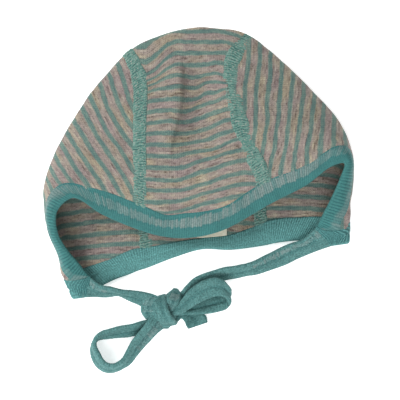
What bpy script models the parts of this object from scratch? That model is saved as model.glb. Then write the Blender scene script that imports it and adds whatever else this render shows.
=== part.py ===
"""Silk and wool baby bonnet, laid flat on its nape with the ties done up in a bow.

Metres, +Z up.  The origin is on the floor under the bonnet; +Y runs from the bow to the
crown and +X to the right cheek.  The cloth's middle surface is one sheet of ribs: each
rib starts at the face rim, runs over the crown to the fold and back underneath to the
nape rim.  The bindings, tapes and panels are bands cut out of that sheet.
"""
import math

import bpy
import numpy as np

MM = 0.001

WIDTH = 186.0 * MM            # cheek fold to cheek fold, laid flat
DEPTH = 134.0 * MM            # crown fold to nape rim
LOFT = 27.5 * MM              # crest of the upper layer above the floor
CLOTH = 1.6 * MM              # striped jersey and the seam tapes
BINDING = 15.0 * MM           # width of the ribbed bindings
BINDING_WALL = 3.0 * MM       # folded double around the edge of the cloth
TAPE = 7.6 * MM               # width of the seam tapes
STRAP_WALL = 2.4 * MM
GAP = 0.40 * MM               # kept between neighbouring pieces
CREASE = 3.0 * MM             # depth of the soft crease in the crown
LABEL = (27.0 * MM, 11.0 * MM, 0.6 * MM)

# Ribs from the left chin around the face to the right chin.  x is a share of WIDTH, y of
# DEPTH and z of LOFT: the face rim, the outer fold and the nape rim.
# name, face x y z, fold x y z, nape x y z
RIM_ROWS = (
    ("chin_l", -0.3419, -0.5015, 0.273, -0.3484, -0.5463, 0.262, -0.3548, -0.5924, 0.240),
    ("throat_l", -0.3581, -0.4746, 0.345, -0.3871, -0.5373, 0.273, -0.3742, -0.5969, 0.240),
    ("jaw_l", -0.3774, -0.4388, 0.436, -0.4226, -0.5104, 0.218, -0.3935, -0.5991, 0.145),
    ("cheek_l", -0.4113, -0.3806, 0.618, -0.4419, -0.4030, 0.236, -0.3613, -0.5754, 0.055),
    ("side_l", -0.4403, -0.3090, 0.764, -0.4726, -0.3000, 0.273, -0.3065, -0.5418, 0.055),
    ("ear_l", -0.4419, -0.2104, 0.873, -0.4871, -0.1836, 0.291, -0.2613, -0.5172, 0.055),
    ("corner_l", -0.3903, -0.1513, 0.909, -0.4823, -0.0493, 0.291, -0.2226, -0.4970, 0.055),
    ("temple_l", -0.3000, -0.2239, 0.764, -0.3903, 0.2104, 0.291, -0.1903, -0.4746, 0.055),
    ("seam_l", -0.1742, -0.2955, 0.582, -0.2161, 0.5104, 0.273, -0.1613, -0.4567, 0.065),
    ("front_l", -0.1065, -0.3201, 0.527, -0.1097, 0.5843, 0.255, -0.0710, -0.4084, 0.109),
    ("front_mid", -0.0323, -0.3269, 0.509, 0.0000, 0.6161, 0.255, 0.0194, -0.3775, 0.127),
    ("front_r", 0.0806, -0.2955, 0.564, 0.0871, 0.6112, 0.255, 0.1129, -0.3797, 0.109),
    ("seam_r", 0.2452, -0.1701, 0.636, 0.1645, 0.5843, 0.273, 0.2000, -0.3649, 0.065),
    ("temple_r", 0.3548, -0.0918, 0.691, 0.3484, 0.3672, 0.291, 0.2581, -0.3493, 0.055),
    ("brow_r", 0.4290, -0.0134, 0.800, 0.4677, 0.1836, 0.309, 0.3065, -0.3403, 0.055),
    ("corner_r", 0.4726, 0.0022, 0.855, 0.5081, 0.0403, 0.309, 0.3548, -0.3372, 0.055),
    ("ear_r", 0.4613, -0.0582, 0.818, 0.5090, -0.0672, 0.291, 0.4032, -0.3381, 0.055),
    ("side_r", 0.4355, -0.1433, 0.691, 0.4984, -0.1701, 0.273, 0.4516, -0.3448, 0.055),
    ("jaw_r", 0.4081, -0.2216, 0.491, 0.4968, -0.2597, 0.218, 0.4903, -0.3515, 0.145),
    ("throat_r", 0.3984, -0.2507, 0.382, 0.4806, -0.3045, 0.262, 0.4597, -0.3582, 0.240),
    ("chin_r", 0.3871, -0.2821, 0.291, 0.4129, -0.3224, 0.269, 0.4355, -0.3640, 0.240),
)

# Height of the lower layer and of the crest (shares of LOFT), how far the rib sways to
# the right on its way (shares of WIDTH) and the bindings' widths (shares of BINDING).
# name, ground, crest, sway low, sway crest, sway back, face binding, nape binding
PROFILE_ROWS = (
    ("chin_l", 0.251, 0.269, 0.0000, 0.0000, 0.0000, 0.00, 0.87),
    ("throat_l", 0.240, 0.338, 0.0000, 0.0000, 0.0000, 0.37, 0.87),
    ("jaw_l", 0.160, 0.429, 0.0000, 0.0000, 0.0000, 0.53, 0.87),
    ("cheek_l", 0.029, 0.600, 0.0000, 0.0000, 0.0000, 0.93, 0.93),
    ("side_l", 0.029, 0.745, 0.0000, 0.0000, 0.0000, 1.00, 0.97),
    ("ear_l", 0.029, 0.873, 0.0000, 0.0000, 0.0000, 0.97, 0.90),
    ("corner_l", 0.029, 0.909, 0.0000, 0.0000, 0.0000, 0.90, 0.87),
    ("temple_l", 0.029, 0.916, 0.0000, 0.0000, 0.0000, 1.17, 0.87),
    ("seam_l", 0.029, 0.931, 0.0097, 0.0194, 0.0290, 1.13, 0.80),
    ("front_l", 0.029, 0.931, 0.0065, 0.0097, 0.0129, 1.00, 0.60),
    ("front_mid", 0.029, 0.931, 0.0000, -0.0097, -0.0097, 1.10, 0.44),
    ("front_r", 0.029, 0.931, 0.0000, -0.0194, -0.0323, 1.00, 0.60),
    ("seam_r", 0.029, 0.931, -0.0129, -0.0484, -0.0452, 0.93, 0.90),
    ("temple_r", 0.029, 0.909, 0.0000, -0.0129, -0.0065, 0.83, 1.00),
    ("brow_r", 0.029, 0.909, 0.0000, 0.0000, 0.0000, 0.87, 1.03),
    ("corner_r", 0.029, 0.873, 0.0000, 0.0000, 0.0000, 0.93, 1.07),
    ("ear_r", 0.029, 0.800, 0.0000, 0.0000, 0.0000, 1.00, 1.03),
    ("side_r", 0.029, 0.676, 0.0000, 0.0000, 0.0000, 1.00, 0.93),
    ("jaw_r", 0.160, 0.480, 0.0000, 0.0000, 0.0000, 0.80, 0.87),
    ("throat_r", 0.240, 0.378, 0.0000, 0.0000, 0.0000, 0.84, 0.87),
    ("chin_r", 0.251, 0.287, 0.0000, 0.0000, 0.0000, 0.00, 0.87),
)

# Straps by their two edges, in the same shares.  An edge view in plan is a rolled strap.
# edge a x y z, edge b x y z
TIE_LEFT_ROWS = (
    (-0.3065, -0.5373, 0.382, -0.3071, -0.5893, 0.091),
    (-0.2774, -0.5490, 0.411, -0.2790, -0.5866, 0.065),
    (-0.2516, -0.5597, 0.422, -0.2542, -0.5812, 0.055),
    (-0.2258, -0.5624, 0.385, -0.2323, -0.5955, 0.051),
    (-0.2000, -0.5633, 0.335, -0.2129, -0.6099, 0.051),
    (-0.1710, -0.5696, 0.298, -0.1855, -0.6269, 0.058),
    (-0.1452, -0.5776, 0.284, -0.1597, -0.6466, 0.095),
    (-0.1161, -0.5928, 0.305, -0.1355, -0.6627, 0.153),
    (-0.0903, -0.6090, 0.327, -0.1065, -0.6649, 0.204),
)
TIE_RIGHT_ROWS = (
    (0.3419, -0.3331, 0.240, 0.3903, -0.3851, 0.167),
    (0.3032, -0.3519, 0.211, 0.3355, -0.4164, 0.109),
    (0.2710, -0.3654, 0.189, 0.2935, -0.4388, 0.073),
    (0.2290, -0.3949, 0.251, 0.2435, -0.4630, 0.051),
    (0.1806, -0.4299, 0.313, 0.1919, -0.4836, 0.051),
    (0.1290, -0.4487, 0.320, 0.1355, -0.5015, 0.051),
    (0.0774, -0.4648, 0.313, 0.0839, -0.5194, 0.051),
    (0.0323, -0.4836, 0.298, 0.0452, -0.5382, 0.051),
    (-0.0032, -0.5051, 0.276, 0.0194, -0.5561, 0.058),
    (-0.0306, -0.5373, 0.269, -0.0065, -0.5866, 0.087),
    (-0.0516, -0.5731, 0.247, -0.0306, -0.6161, 0.087),
    (-0.0839, -0.6179, 0.233, -0.0677, -0.6475, 0.124),
)
LOOP_LEFT_ROWS = (
    (-0.1161, -0.6313, 0.305, -0.0839, -0.6940, 0.204),
    (-0.1419, -0.6654, 0.349, -0.1032, -0.7281, 0.196),
    (-0.1594, -0.7066, 0.400, -0.1252, -0.7522, 0.175),
    (-0.1839, -0.7478, 0.349, -0.1510, -0.7916, 0.116),
    (-0.2045, -0.7818, 0.320, -0.1723, -0.8216, 0.065),
    (-0.2194, -0.8225, 0.349, -0.1942, -0.8552, 0.051),
    (-0.2316, -0.8633, 0.393, -0.2135, -0.8857, 0.051),
    (-0.2484, -0.8848, 0.415, -0.2374, -0.9072, 0.051),
    (-0.2677, -0.8946, 0.415, -0.2652, -0.9206, 0.051),
    (-0.2832, -0.8893, 0.393, -0.2923, -0.9206, 0.051),
    (-0.2994, -0.8704, 0.378, -0.3135, -0.9045, 0.051),
    (-0.3129, -0.8418, 0.393, -0.3284, -0.8713, 0.051),
    (-0.3226, -0.8122, 0.415, -0.3348, -0.8284, 0.051),
    (-0.3265, -0.7890, 0.429, -0.3290, -0.7943, 0.051),
    (-0.3213, -0.7666, 0.422, -0.3148, -0.7818, 0.051),
    (-0.3045, -0.7496, 0.400, -0.2961, -0.7782, 0.051),
    (-0.2781, -0.7379, 0.371, -0.2742, -0.7764, 0.051),
    (-0.2490, -0.7254, 0.342, -0.2452, -0.7737, 0.051),
    (-0.2200, -0.7173, 0.320, -0.2142, -0.7693, 0.051),
    (-0.1897, -0.7048, 0.269, -0.1774, -0.7639, 0.051),
    (-0.1613, -0.6940, 0.196, -0.1439, -0.7522, 0.055),
    (-0.1387, -0.6851, 0.167, -0.1161, -0.7325, 0.065),
    (-0.1161, -0.6582, 0.167, -0.0903, -0.7030, 0.095),
)
LOOP_RIGHT_ROWS = (
    (-0.0903, -0.6269, 0.371, -0.0871, -0.6734, 0.305),
    (-0.0677, -0.6206, 0.393, -0.0645, -0.6716, 0.320),
    (-0.0484, -0.6018, 0.407, -0.0419, -0.6627, 0.320),
    (-0.0258, -0.5642, 0.415, -0.0194, -0.6430, 0.320),
    (0.0016, -0.5328, 0.436, 0.0081, -0.6188, 0.327),
    (0.0323, -0.5122, 0.444, 0.0371, -0.6000, 0.335),
    (0.0645, -0.5033, 0.436, 0.0645, -0.5875, 0.327),
    (0.0871, -0.5131, 0.400, 0.0884, -0.5901, 0.284),
    (0.1019, -0.5355, 0.335, 0.1032, -0.6099, 0.225),
    (0.1052, -0.5597, 0.276, 0.1071, -0.6313, 0.178),
    (0.0935, -0.5687, 0.251, 0.0981, -0.6466, 0.167),
    (0.0677, -0.5812, 0.240, 0.0735, -0.6582, 0.160),
    (0.0355, -0.5946, 0.233, 0.0400, -0.6672, 0.156),
    (0.0000, -0.6107, 0.240, 0.0045, -0.6699, 0.160),
    (-0.0323, -0.6251, 0.247, -0.0290, -0.6716, 0.175),
    (-0.0645, -0.6331, 0.247, -0.0613, -0.6743, 0.189),
    (-0.0871, -0.6340, 0.247, -0.0852, -0.6743, 0.196),
)
TAIL_ROWS = (
    (-0.0903, -0.6627, 0.116, -0.0710, -0.6313, 0.116),
    (-0.0677, -0.6851, 0.073, -0.0484, -0.6470, 0.080),
    (-0.0500, -0.6963, 0.051, -0.0226, -0.6537, 0.055),
    (-0.0368, -0.7075, 0.047, 0.0097, -0.6582, 0.047),
    (-0.0290, -0.7200, 0.047, 0.0323, -0.6761, 0.047),
    (-0.0226, -0.7316, 0.047, 0.0381, -0.7066, 0.047),
)

# The knot's rings from its top end to its bottom end.
# y (DEPTH), x and half width (WIDTH), z and half height (LOFT)
KNOT_ROWS = (
    (-0.5619, -0.0690, 0.0161, 0.233, 0.131),
    (-0.5799, -0.0748, 0.0277, 0.240, 0.182),
    (-0.6000, -0.0819, 0.0368, 0.247, 0.215),
    (-0.6224, -0.0897, 0.0439, 0.251, 0.236),
    (-0.6470, -0.0948, 0.0471, 0.255, 0.247),
    (-0.6716, -0.0981, 0.0452, 0.247, 0.236),
    (-0.6963, -0.1000, 0.0374, 0.225, 0.211),
    (-0.7187, -0.1013, 0.0265, 0.189, 0.167),
    (-0.7343, -0.1013, 0.0148, 0.153, 0.109),
)

# Where the upper layer's own points sit between the face rim and the fold, and how much
# of the rise from the rim (or from the fold) they have made there.
LOW_AT, LOW_RISE = 0.20, 0.70
CREST_AT = 0.45
BACK_AT, BACK_RISE = 0.84, 0.45
RIB_POINTS = ("rim", "low", "crest", "back", "fold", "under", "lift", "nape")
FOLD_POINT = RIB_POINTS.index("fold")

NAMES = [row[0] for row in RIM_ROWS]
LAST = len(NAMES) - 1
SCALE = np.array([WIDTH, DEPTH, LOFT])
RIMS = np.array([row[1:] for row in RIM_ROWS])
FACE = RIMS[:, 0:3] * SCALE
FOLD = RIMS[:, 3:6] * SCALE
NAPE = RIMS[:, 6:9] * SCALE
PROFILE = np.array([row[1:] for row in PROFILE_ROWS])
GROUND = PROFILE[:, 0] * LOFT
CREST = PROFILE[:, 1] * LOFT
SWAY = PROFILE[:, 2:5] * WIDTH
FACE_BAND = PROFILE[:, 5] * BINDING
NAPE_BAND = PROFILE[:, 6] * BINDING
SEAM_LEFT = NAMES.index("seam_l")
SEAM_RIGHT = NAMES.index("seam_r")
PANEL_FROM = 1.30             # ribs between which the cloth shows between the bindings
PANEL_TO = LAST - 1.15
FACE_FROM = 0.50              # the nape binding covers the ends of the face binding
CHORD_STEPS = 14
CROWN_STEPS = 24
SIDE_STEPS = 20
TAPE_STEPS = 24


def curve(points, at, centripetal=True):
    """Catmull-Rom through a list of points, at fractional places in the list."""
    points = np.asarray(points, float)
    if points.ndim == 1:
        points = points[:, None]
    at = np.clip(np.atleast_1d(np.asarray(at, float)), 0, len(points) - 1)
    i = np.minimum(at.astype(int), len(points) - 2)
    t = (at - i)[:, None]
    ends = np.vstack([2 * points[0] - points[1], points, 2 * points[-1] - points[-2]])
    p0, p1, p2, p3 = ends[i], ends[i + 1], ends[i + 2], ends[i + 3]
    if centripetal:
        a, b, c = [np.sqrt(np.maximum(np.linalg.norm(q - p, axis=1), 1e-9))[:, None]
                   for p, q in ((p0, p1), (p1, p2), (p2, p3))]
        m1 = (p2 - p1) + b * ((p1 - p0) / a - (p2 - p0) / (a + b))
        m2 = (p2 - p1) + b * ((p3 - p2) / c - (p3 - p1) / (b + c))
    else:
        m1, m2 = (p2 - p0) / 2, (p3 - p1) / 2
    return ((2 * t**3 - 3 * t**2 + 1) * p1 + (t**3 - 2 * t**2 + t) * m1
            + (3 * t**2 - 2 * t**3) * p2 + (t**3 - t**2) * m2)


def value(table, rib):
    return curve(table, rib, centripetal=False)[0]


def ground_at(rib):
    return max(value(GROUND, rib)[0], CLOTH / 2)


def ease(x, low, high):
    x = np.clip((x - low) / (high - low), 0.0, 1.0)
    return x * x * (3 - 2 * x)


def rib_points(rib):
    """The points of one rib: rim, low, crest, back, fold, under, lift, nape rim."""
    face, fold, nape = curve(FACE, rib)[0], curve(FOLD, rib)[0], curve(NAPE, rib)[0]
    ground, crest = ground_at(rib), value(CREST, rib)[0]
    sway = value(SWAY, rib)
    out = fold[:2] - face[:2]
    side = np.array([out[1], -out[0]]) / np.linalg.norm(out)
    low = face[:2] + LOW_AT * out + sway[0] * side
    mid = face[:2] + CREST_AT * out + sway[1] * side
    back = face[:2] + BACK_AT * out + sway[2] * side
    under = nape[:2] - fold[:2]
    reach = np.linalg.norm(under)
    under = under / reach
    turn = min(0.9 * fold[2], 0.35 * reach)
    lift = min(0.21 * DEPTH, 0.5 * (reach - turn))
    return np.array([
        face,
        [*low, face[2] + LOW_RISE * (crest - face[2])],
        [*mid, crest],
        [*back, fold[2] + BACK_RISE * (crest - fold[2])],
        fold,
        [*(fold[:2] + turn * under), ground],
        [*(nape[:2] - lift * under), ground],
        nape,
    ])


def crease(points, place):
    """The soft dent that runs down the upper layer, left of the middle."""
    x, y = points[:, 0] / WIDTH, points[:, 1] / DEPTH
    centre = -0.066 - 0.040 * ease(0.36 - y, 0.0, 0.36)
    along = ease(y, -0.05, 0.16) * (1 - ease(y, 0.34, 0.52))
    across = np.exp(-((x - centre) / 0.034) ** 2)
    points[:, 2] -= CREASE * along * across * (1 - ease(place, 3.2, 3.9))
    return points


RIB_CACHE = {}


def rib_line(rib):
    """The rib as a fine polyline, with the length along it."""
    key = round(float(rib), 6)
    if key not in RIB_CACHE:
        place = np.linspace(0, 7, 7 * CHORD_STEPS + 1)
        points = crease(curve(rib_points(key), place), place)
        floor = np.where(place > FOLD_POINT + 0.4, ground_at(key), 0.0)
        points[:, 2] = np.maximum(points[:, 2], floor)
        steps = np.linalg.norm(np.diff(points, axis=0), axis=1)
        RIB_CACHE[key] = (points, np.concatenate([[0.0], np.cumsum(steps)]))
    return RIB_CACHE[key]


def on_rib(rib, length):
    points, run = rib_line(rib)
    return np.array([np.interp(length, run, points[:, k]) for k in range(3)])


def rib_length(rib):
    return rib_line(rib)[1][-1]


def from_end(rib):
    return min(rib, LAST - rib)


def nape_width(rib):
    """Width of the nape binding along a rib; at the chins it covers the whole rib."""
    whole = rib_length(rib)
    share = ease(from_end(rib), FACE_FROM - 0.22, FACE_FROM - 0.04)
    return whole + share * (min(value(NAPE_BAND, rib)[0], whole) - whole)


def face_width(rib):
    """Width of the face binding along a rib; it fills the rib where no cloth shows."""
    fills = rib_length(rib) - nape_width(rib) - GAP
    start = PANEL_FROM if rib < LAST / 2 else LAST - PANEL_TO
    share = ease(from_end(rib), start - 0.16, start - 0.02)
    return fills + share * (min(value(FACE_BAND, rib)[0], fills) - fills)


def on_cloth(rib, share):
    """A point of the cloth between the bindings: share 0 at the face, 1 at the nape.

    Share 0.5 is the fold, and the shares crowd together towards it.
    """
    start = face_width(rib) + GAP
    stop = rib_length(rib) - nape_width(rib) - GAP
    reach = stop - start
    fold = rib_line(rib)[1][FOLD_POINT * CHORD_STEPS]
    fold = min(max(fold, start + 0.2 * reach), stop - 0.2 * reach)
    away = abs(2.0 * share - 1.0) ** 1.45
    return on_rib(rib, fold - away * (fold - start) if share < 0.5 else fold + away * (stop - fold))


def beside_seam(seam, share, offset):
    """The rib that lies offset metres beside a seam, measured square to it."""
    step = 0.02
    along = on_cloth(seam, min(share + step, 1.0)) - on_cloth(seam, max(share - step, 0.0))
    across = (on_cloth(seam + step, share) - on_cloth(seam - step, share)) / (2 * step)
    along = along / np.linalg.norm(along)
    return seam + offset / np.linalg.norm(np.cross(across, along))


def spread(start, stop, count):
    return np.linspace(start, stop, count + 1)


# ---- materials and mesh helpers -------------------------------------------------------

def linear(channel):
    return channel / 12.92 if channel <= 0.04045 else ((channel + 0.055) / 1.055) ** 2.4


def material(name, colour, roughness):
    made = bpy.data.materials.new(name)
    made.use_nodes = True
    shader = made.node_tree.nodes["Principled BSDF"]
    rgb = [linear(int(colour[i:i + 2], 16) / 255) for i in (0, 2, 4)]
    shader.inputs["Base Color"].default_value = (*rgb, 1.0)
    shader.inputs["Roughness"].default_value = roughness
    made.diffuse_color = (*rgb, 1.0)
    return made


def grid_object(name, rows, wall, cloth, collection):
    """An open sheet from rows of points, thickened evenly both ways."""
    rows = np.asarray(rows)
    count, across = rows.shape[0], rows.shape[1]
    faces = []
    for i in range(count - 1):
        for j in range(across - 1):
            a = i * across + j
            faces.append((a, a + 1, a + across + 1, a + across))
    mesh = bpy.data.meshes.new(name)
    mesh.from_pydata([tuple(p) for p in rows.reshape(-1, 3)], [], faces)
    mesh.polygons.foreach_set("use_smooth", [True] * len(faces))
    mesh.materials.append(cloth)
    made = bpy.data.objects.new(name, mesh)
    collection.objects.link(made)
    thick = made.modifiers.new("thickness", "SOLIDIFY")
    thick.thickness = wall
    thick.offset = 0.0
    thick.use_even_offset = True
    thick.use_quality_normals = True
    return made


def ring_object(name, rings, cloth, collection):
    """A closed body through rings of points, capped at both ends."""
    rings = np.asarray(rings)
    count, around = rings.shape[0], rings.shape[1]
    faces = []
    for i in range(count - 1):
        for j in range(around):
            a, b = i * around + j, i * around + (j + 1) % around
            faces.append((a, b, b + around, a + around))
    faces.append(tuple(reversed(range(around))))
    faces.append(tuple((count - 1) * around + j for j in range(around)))
    mesh = bpy.data.meshes.new(name)
    mesh.from_pydata([tuple(p) for p in rings.reshape(-1, 3)], [], faces)
    mesh.polygons.foreach_set("use_smooth", [True] * len(faces))
    mesh.materials.append(cloth)
    made = bpy.data.objects.new(name, mesh)
    collection.objects.link(made)
    return made


def cut_by(target, cutter):
    cut = target.modifiers.new("knot_cut", "BOOLEAN")
    cut.operation = "DIFFERENCE"
    cut.solver = "EXACT"
    cut.object = cutter


# ---- pieces ---------------------------------------------------------------------------

def panel_rows(left, right, along):
    """Rows of a striped panel; left and right give the outer ribs at a share.

    Its columns meet the bindings' own ribs, so the two edges run side by side.
    """
    low, high = left(0.0), right(0.0)
    inner = [p for p in binding_places(0.0, float(LAST)) if low + 0.12 < p < high - 0.12]
    parts = (np.array([low] + inner + [high]) - low) / (high - low)
    rows = []
    for share in spread(0.0, 1.0, along):
        low, high = left(share), right(share)
        rows.append([on_cloth(low + part * (high - low), share) for part in parts])
    return rows


def tape_rows(seam, along):
    rows = []
    for share in spread(0.0, 1.0, along):
        rows.append([on_cloth(beside_seam(seam, share, side * TAPE / 2), share)
                     for side in (-1.0, 0.0, 1.0)])
    return rows


def binding_places(start, stop):
    """Ribs for a binding: close together around the corners and where its width steps."""
    places = []
    for i, name in enumerate(NAMES[:-1]):
        pieces = 4 if name.split("_")[0] in ("jaw", "throat", "corner", "ear") else 3
        places += list(np.linspace(i, i + 1, pieces, endpoint=False))
    steps = [FACE_FROM - back for back in (0.22, 0.13, 0.04)]
    panel = [PANEL_FROM - back for back in (0.16, 0.09, 0.02)]
    steps += panel + [LAST - p for p in steps]
    steps += [PANEL_TO + back for back in (0.16, 0.09, 0.02)]
    places = [p for p in places if min(abs(p - step) for step in steps) > 0.07]
    places = sorted(p for p in places + steps if start + 0.03 < p < stop - 0.03)
    return [start] + places + [stop]


def face_binding_rows():
    rows = []
    for rib in binding_places(FACE_FROM, LAST - FACE_FROM):
        rows.append([on_rib(rib, share * face_width(rib)) for share in spread(0.0, 1.0, 5)])
    return rows


def nape_binding_rows():
    rows = []
    for rib in binding_places(0.0, float(LAST)):
        whole = rib_length(rib)
        width = nape_width(rib)
        row = np.array([on_rib(rib, whole - width + share * width) for share in spread(0.0, 1.0, 4)])
        row[:, 2] = np.maximum(row[:, 2], BINDING_WALL / 2)
        rows.append(row)
    return rows


def strap_rows(table, root=None, across=2, steps=2):
    """Rows of a strap from its two edges; their heights tell how far it is rolled."""
    table = np.asarray(table)
    a, b = table[:, 0:3] * SCALE, table[:, 3:6] * SCALE
    a[:, 2] = np.maximum(a[:, 2], STRAP_WALL / 2 + 0.05 * MM)
    b[:, 2] = np.maximum(b[:, 2], STRAP_WALL / 2 + 0.05 * MM)
    if root is not None:
        a, b = np.vstack([root[0], a]), np.vstack([root[1], b])
    places = spread(0, len(a) - 1, (len(a) - 1) * steps)
    a, b = curve(a, places), curve(b, places)
    return [[p + share * (q - p) for share in spread(0.0, 1.0, across)] for p, q in zip(a, b)]


def tie_root(rib, inward):
    """The chin end of the nape binding, one gap farther out: where a tie begins."""
    here, there = on_rib(rib, 0.0), on_rib(rib, rib_length(rib))
    inner = (on_rib(rib + inward, 0.0) + on_rib(rib + inward, rib_length(rib + inward))) / 2
    away = (here + there) / 2 - inner
    along = (there - here) / np.linalg.norm(there - here)
    away = away - along * np.dot(away, along)
    away = away / np.linalg.norm(away)
    return here + away * 2.2 * GAP, there + away * 2.2 * GAP


def knot_rings(grow=0.0, around=16):
    rings = []
    rows = np.asarray(KNOT_ROWS) * (DEPTH, WIDTH, WIDTH, LOFT, LOFT)
    for i, (y, x, half_x, z, half_z) in enumerate(rows):
        end = (-1 if i == len(rows) - 1 else 1 if i == 0 else 0) * grow
        ring = []
        for k in range(around):
            turn = 2 * math.pi * k / around
            c, s = math.cos(turn), math.sin(turn)
            bulge = (abs(c) ** 2.6 + abs(s) ** 2.6) ** (-1 / 2.6)
            ring.append((x + (half_x + grow) * bulge * c, y + end, z + (half_z + grow) * bulge * s))
        rings.append(ring)
    return rings


def label_rows():
    """A plain tape on the inside of the nape, just above the binding."""
    width, height, thick = LABEL
    lift = CLOTH / 2 + GAP + thick / 2
    low = NAMES.index("front_mid")
    rows = []
    for down in spread(GAP * 4, GAP * 4 + height, 4):
        row = []
        for x in spread(LABEL_FROM * WIDTH, LABEL_FROM * WIDTH + width, 6):
            ribs = np.linspace(low - 1.6, low + 1.8, 35)
            line = np.array([on_rib(r, rib_length(r) - nape_width(r) - down) for r in ribs])
            rib = np.interp(x, line[:, 0], ribs)
            row.append(on_rib(rib, rib_length(rib) - nape_width(rib) - down) + (0, 0, lift))
        rows.append(row)
    return rows


LABEL_FROM = -0.045


def build():
    for old in list(bpy.data.objects):
        bpy.data.objects.remove(old, do_unlink=True)
    part = bpy.data.collections.new("bonnet")
    cutters = bpy.data.collections.new("cutters")
    bpy.context.scene.collection.children.link(part)
    bpy.context.scene.collection.children.link(cutters)

    jersey = {side: material("striped_jersey_" + side, "9C9590", 0.9)
              for side in ("crown", "left", "right")}
    ribs = {name: material("ribbed_" + name, "5F9390", 0.85)
            for name in ("face", "nape", "tie_left", "tie_right", "knot", "loop_left", "loop_right", "tail")}
    tapes = {side: material("tape_" + side, "5E8F8A", 0.88) for side in ("left", "right")}
    cream = material("label_tape", "DAD3BF", 0.8)

    edge = TAPE / 2 + GAP
    left_in = lambda share: beside_seam(SEAM_LEFT, share, edge)
    left_out = lambda share: beside_seam(SEAM_LEFT, share, -edge)
    right_in = lambda share: beside_seam(SEAM_RIGHT, share, -edge)
    right_out = lambda share: beside_seam(SEAM_RIGHT, share, edge)
    grid_object("crown_panel", panel_rows(left_in, right_in, CROWN_STEPS), CLOTH, jersey["crown"], part)
    grid_object("side_panel_left", panel_rows(lambda s: PANEL_FROM, left_out, SIDE_STEPS), CLOTH,
                jersey["left"], part)
    grid_object("side_panel_right", panel_rows(right_out, lambda s: PANEL_TO, SIDE_STEPS), CLOTH,
                jersey["right"], part)
    grid_object("seam_tape_left", tape_rows(SEAM_LEFT, TAPE_STEPS), CLOTH, tapes["left"], part)
    grid_object("seam_tape_right", tape_rows(SEAM_RIGHT, TAPE_STEPS), CLOTH, tapes["right"], part)
    grid_object("face_binding", face_binding_rows(), BINDING_WALL, ribs["face"], part)
    grid_object("nape_binding", nape_binding_rows(), BINDING_WALL, ribs["nape"], part)
    grid_object("nape_label", label_rows(), LABEL[2], cream, part)

    cutter = ring_object("knot_cutter", knot_rings(GAP), ribs["knot"], cutters)
    cutter.hide_render = True
    cutter.display_type = "WIRE"
    ring_object("bow_knot", knot_rings(), ribs["knot"], part)
    straps = (
        ("tie_left", strap_rows(TIE_LEFT_ROWS, tie_root(0.0, 0.3)), ribs["tie_left"]),
        ("tie_right", strap_rows(TIE_RIGHT_ROWS, tie_root(float(LAST), -0.3)), ribs["tie_right"]),
        ("bow_loop_left", strap_rows(LOOP_LEFT_ROWS), ribs["loop_left"]),
        ("bow_loop_right", strap_rows(LOOP_RIGHT_ROWS), ribs["loop_right"]),
        ("bow_tail", strap_rows(TAIL_ROWS), ribs["tail"]),
    )
    for name, rows, cloth in straps:
        cut_by(grid_object(name, rows, STRAP_WALL, cloth, part), cutter)


build()
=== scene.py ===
# %% [markdown]
# # A baby's bonnet of striped silk and wool jersey
# The bonnet lies flat on its nape: three striped panels sewn together under narrow knit
# tapes, a ribbed binding round the face, another along the neck, and the neck binding's
# two ends tied in a bow.  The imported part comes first, and every piece below dresses one
# of its solids in the same frame: metres, +Z up, +Y towards the crown.

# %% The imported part
import math

import bmesh
import bpy
import numpy as np
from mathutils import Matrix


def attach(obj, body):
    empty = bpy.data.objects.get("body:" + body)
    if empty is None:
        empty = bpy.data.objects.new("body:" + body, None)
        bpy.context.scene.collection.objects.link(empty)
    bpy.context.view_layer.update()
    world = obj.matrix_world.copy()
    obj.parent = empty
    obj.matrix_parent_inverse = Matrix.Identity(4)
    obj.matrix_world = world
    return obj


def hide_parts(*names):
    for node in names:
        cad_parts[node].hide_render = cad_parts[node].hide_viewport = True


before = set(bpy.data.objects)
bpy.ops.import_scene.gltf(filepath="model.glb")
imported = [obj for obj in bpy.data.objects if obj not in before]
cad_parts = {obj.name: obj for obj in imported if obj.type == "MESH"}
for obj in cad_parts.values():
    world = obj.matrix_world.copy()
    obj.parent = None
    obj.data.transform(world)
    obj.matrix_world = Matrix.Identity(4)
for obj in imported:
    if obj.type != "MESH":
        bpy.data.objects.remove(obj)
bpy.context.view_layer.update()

# %% [markdown]
# ## The camera
# The photograph looks almost straight down, from a little on the bow's side.  A long lens
# a metre away keeps the flat bonnet free of perspective, as in a catalogue picture.

# %% Camera
MM = 0.001
scene = bpy.context.scene
TARGET = np.array([2.4, -21.0, 12.0]) * MM
TILT = math.radians(88)  # up from level
camera = bpy.data.objects.new("camera", bpy.data.cameras.new("camera"))
camera.data.lens, camera.data.sensor_width = 150.0, 36.0
camera.data.clip_start, camera.data.clip_end = 0.05, 20.0
camera.location = TARGET + np.array([0.0, -math.cos(TILT), math.sin(TILT)])
camera.rotation_euler = (math.pi / 2 - TILT, 0.0, 0.0)
scene.collection.objects.link(camera)
scene.camera = camera
print("camera at", [round(v, 3) for v in camera.location])

# %% [markdown]
# ## One sheet of ribs
# Cloth that has been sewn into a hood is still one sheet.  Lines drawn from the face
# edge over the top to the fold, and back underneath to the neck edge, cover it all.
# Their stations are those of the part, moved a few millimetres at most, so each piece
# that is cut from the sheet lies where its solid does.

# %% Stations of the ribs
WIDTH, DEPTH, LOFT = 186.0 * MM, 134.0 * MM, 27.5 * MM
CLOTH = 1.6 * MM  # wall of the jersey and of the tapes
BINDING, BINDING_WALL = 15.0 * MM, 3.0 * MM
TAPE = 7.6 * MM
STRAP_WALL = 2.4 * MM
CREASE = 5.6 * MM  # a little deeper than in the part

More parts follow.
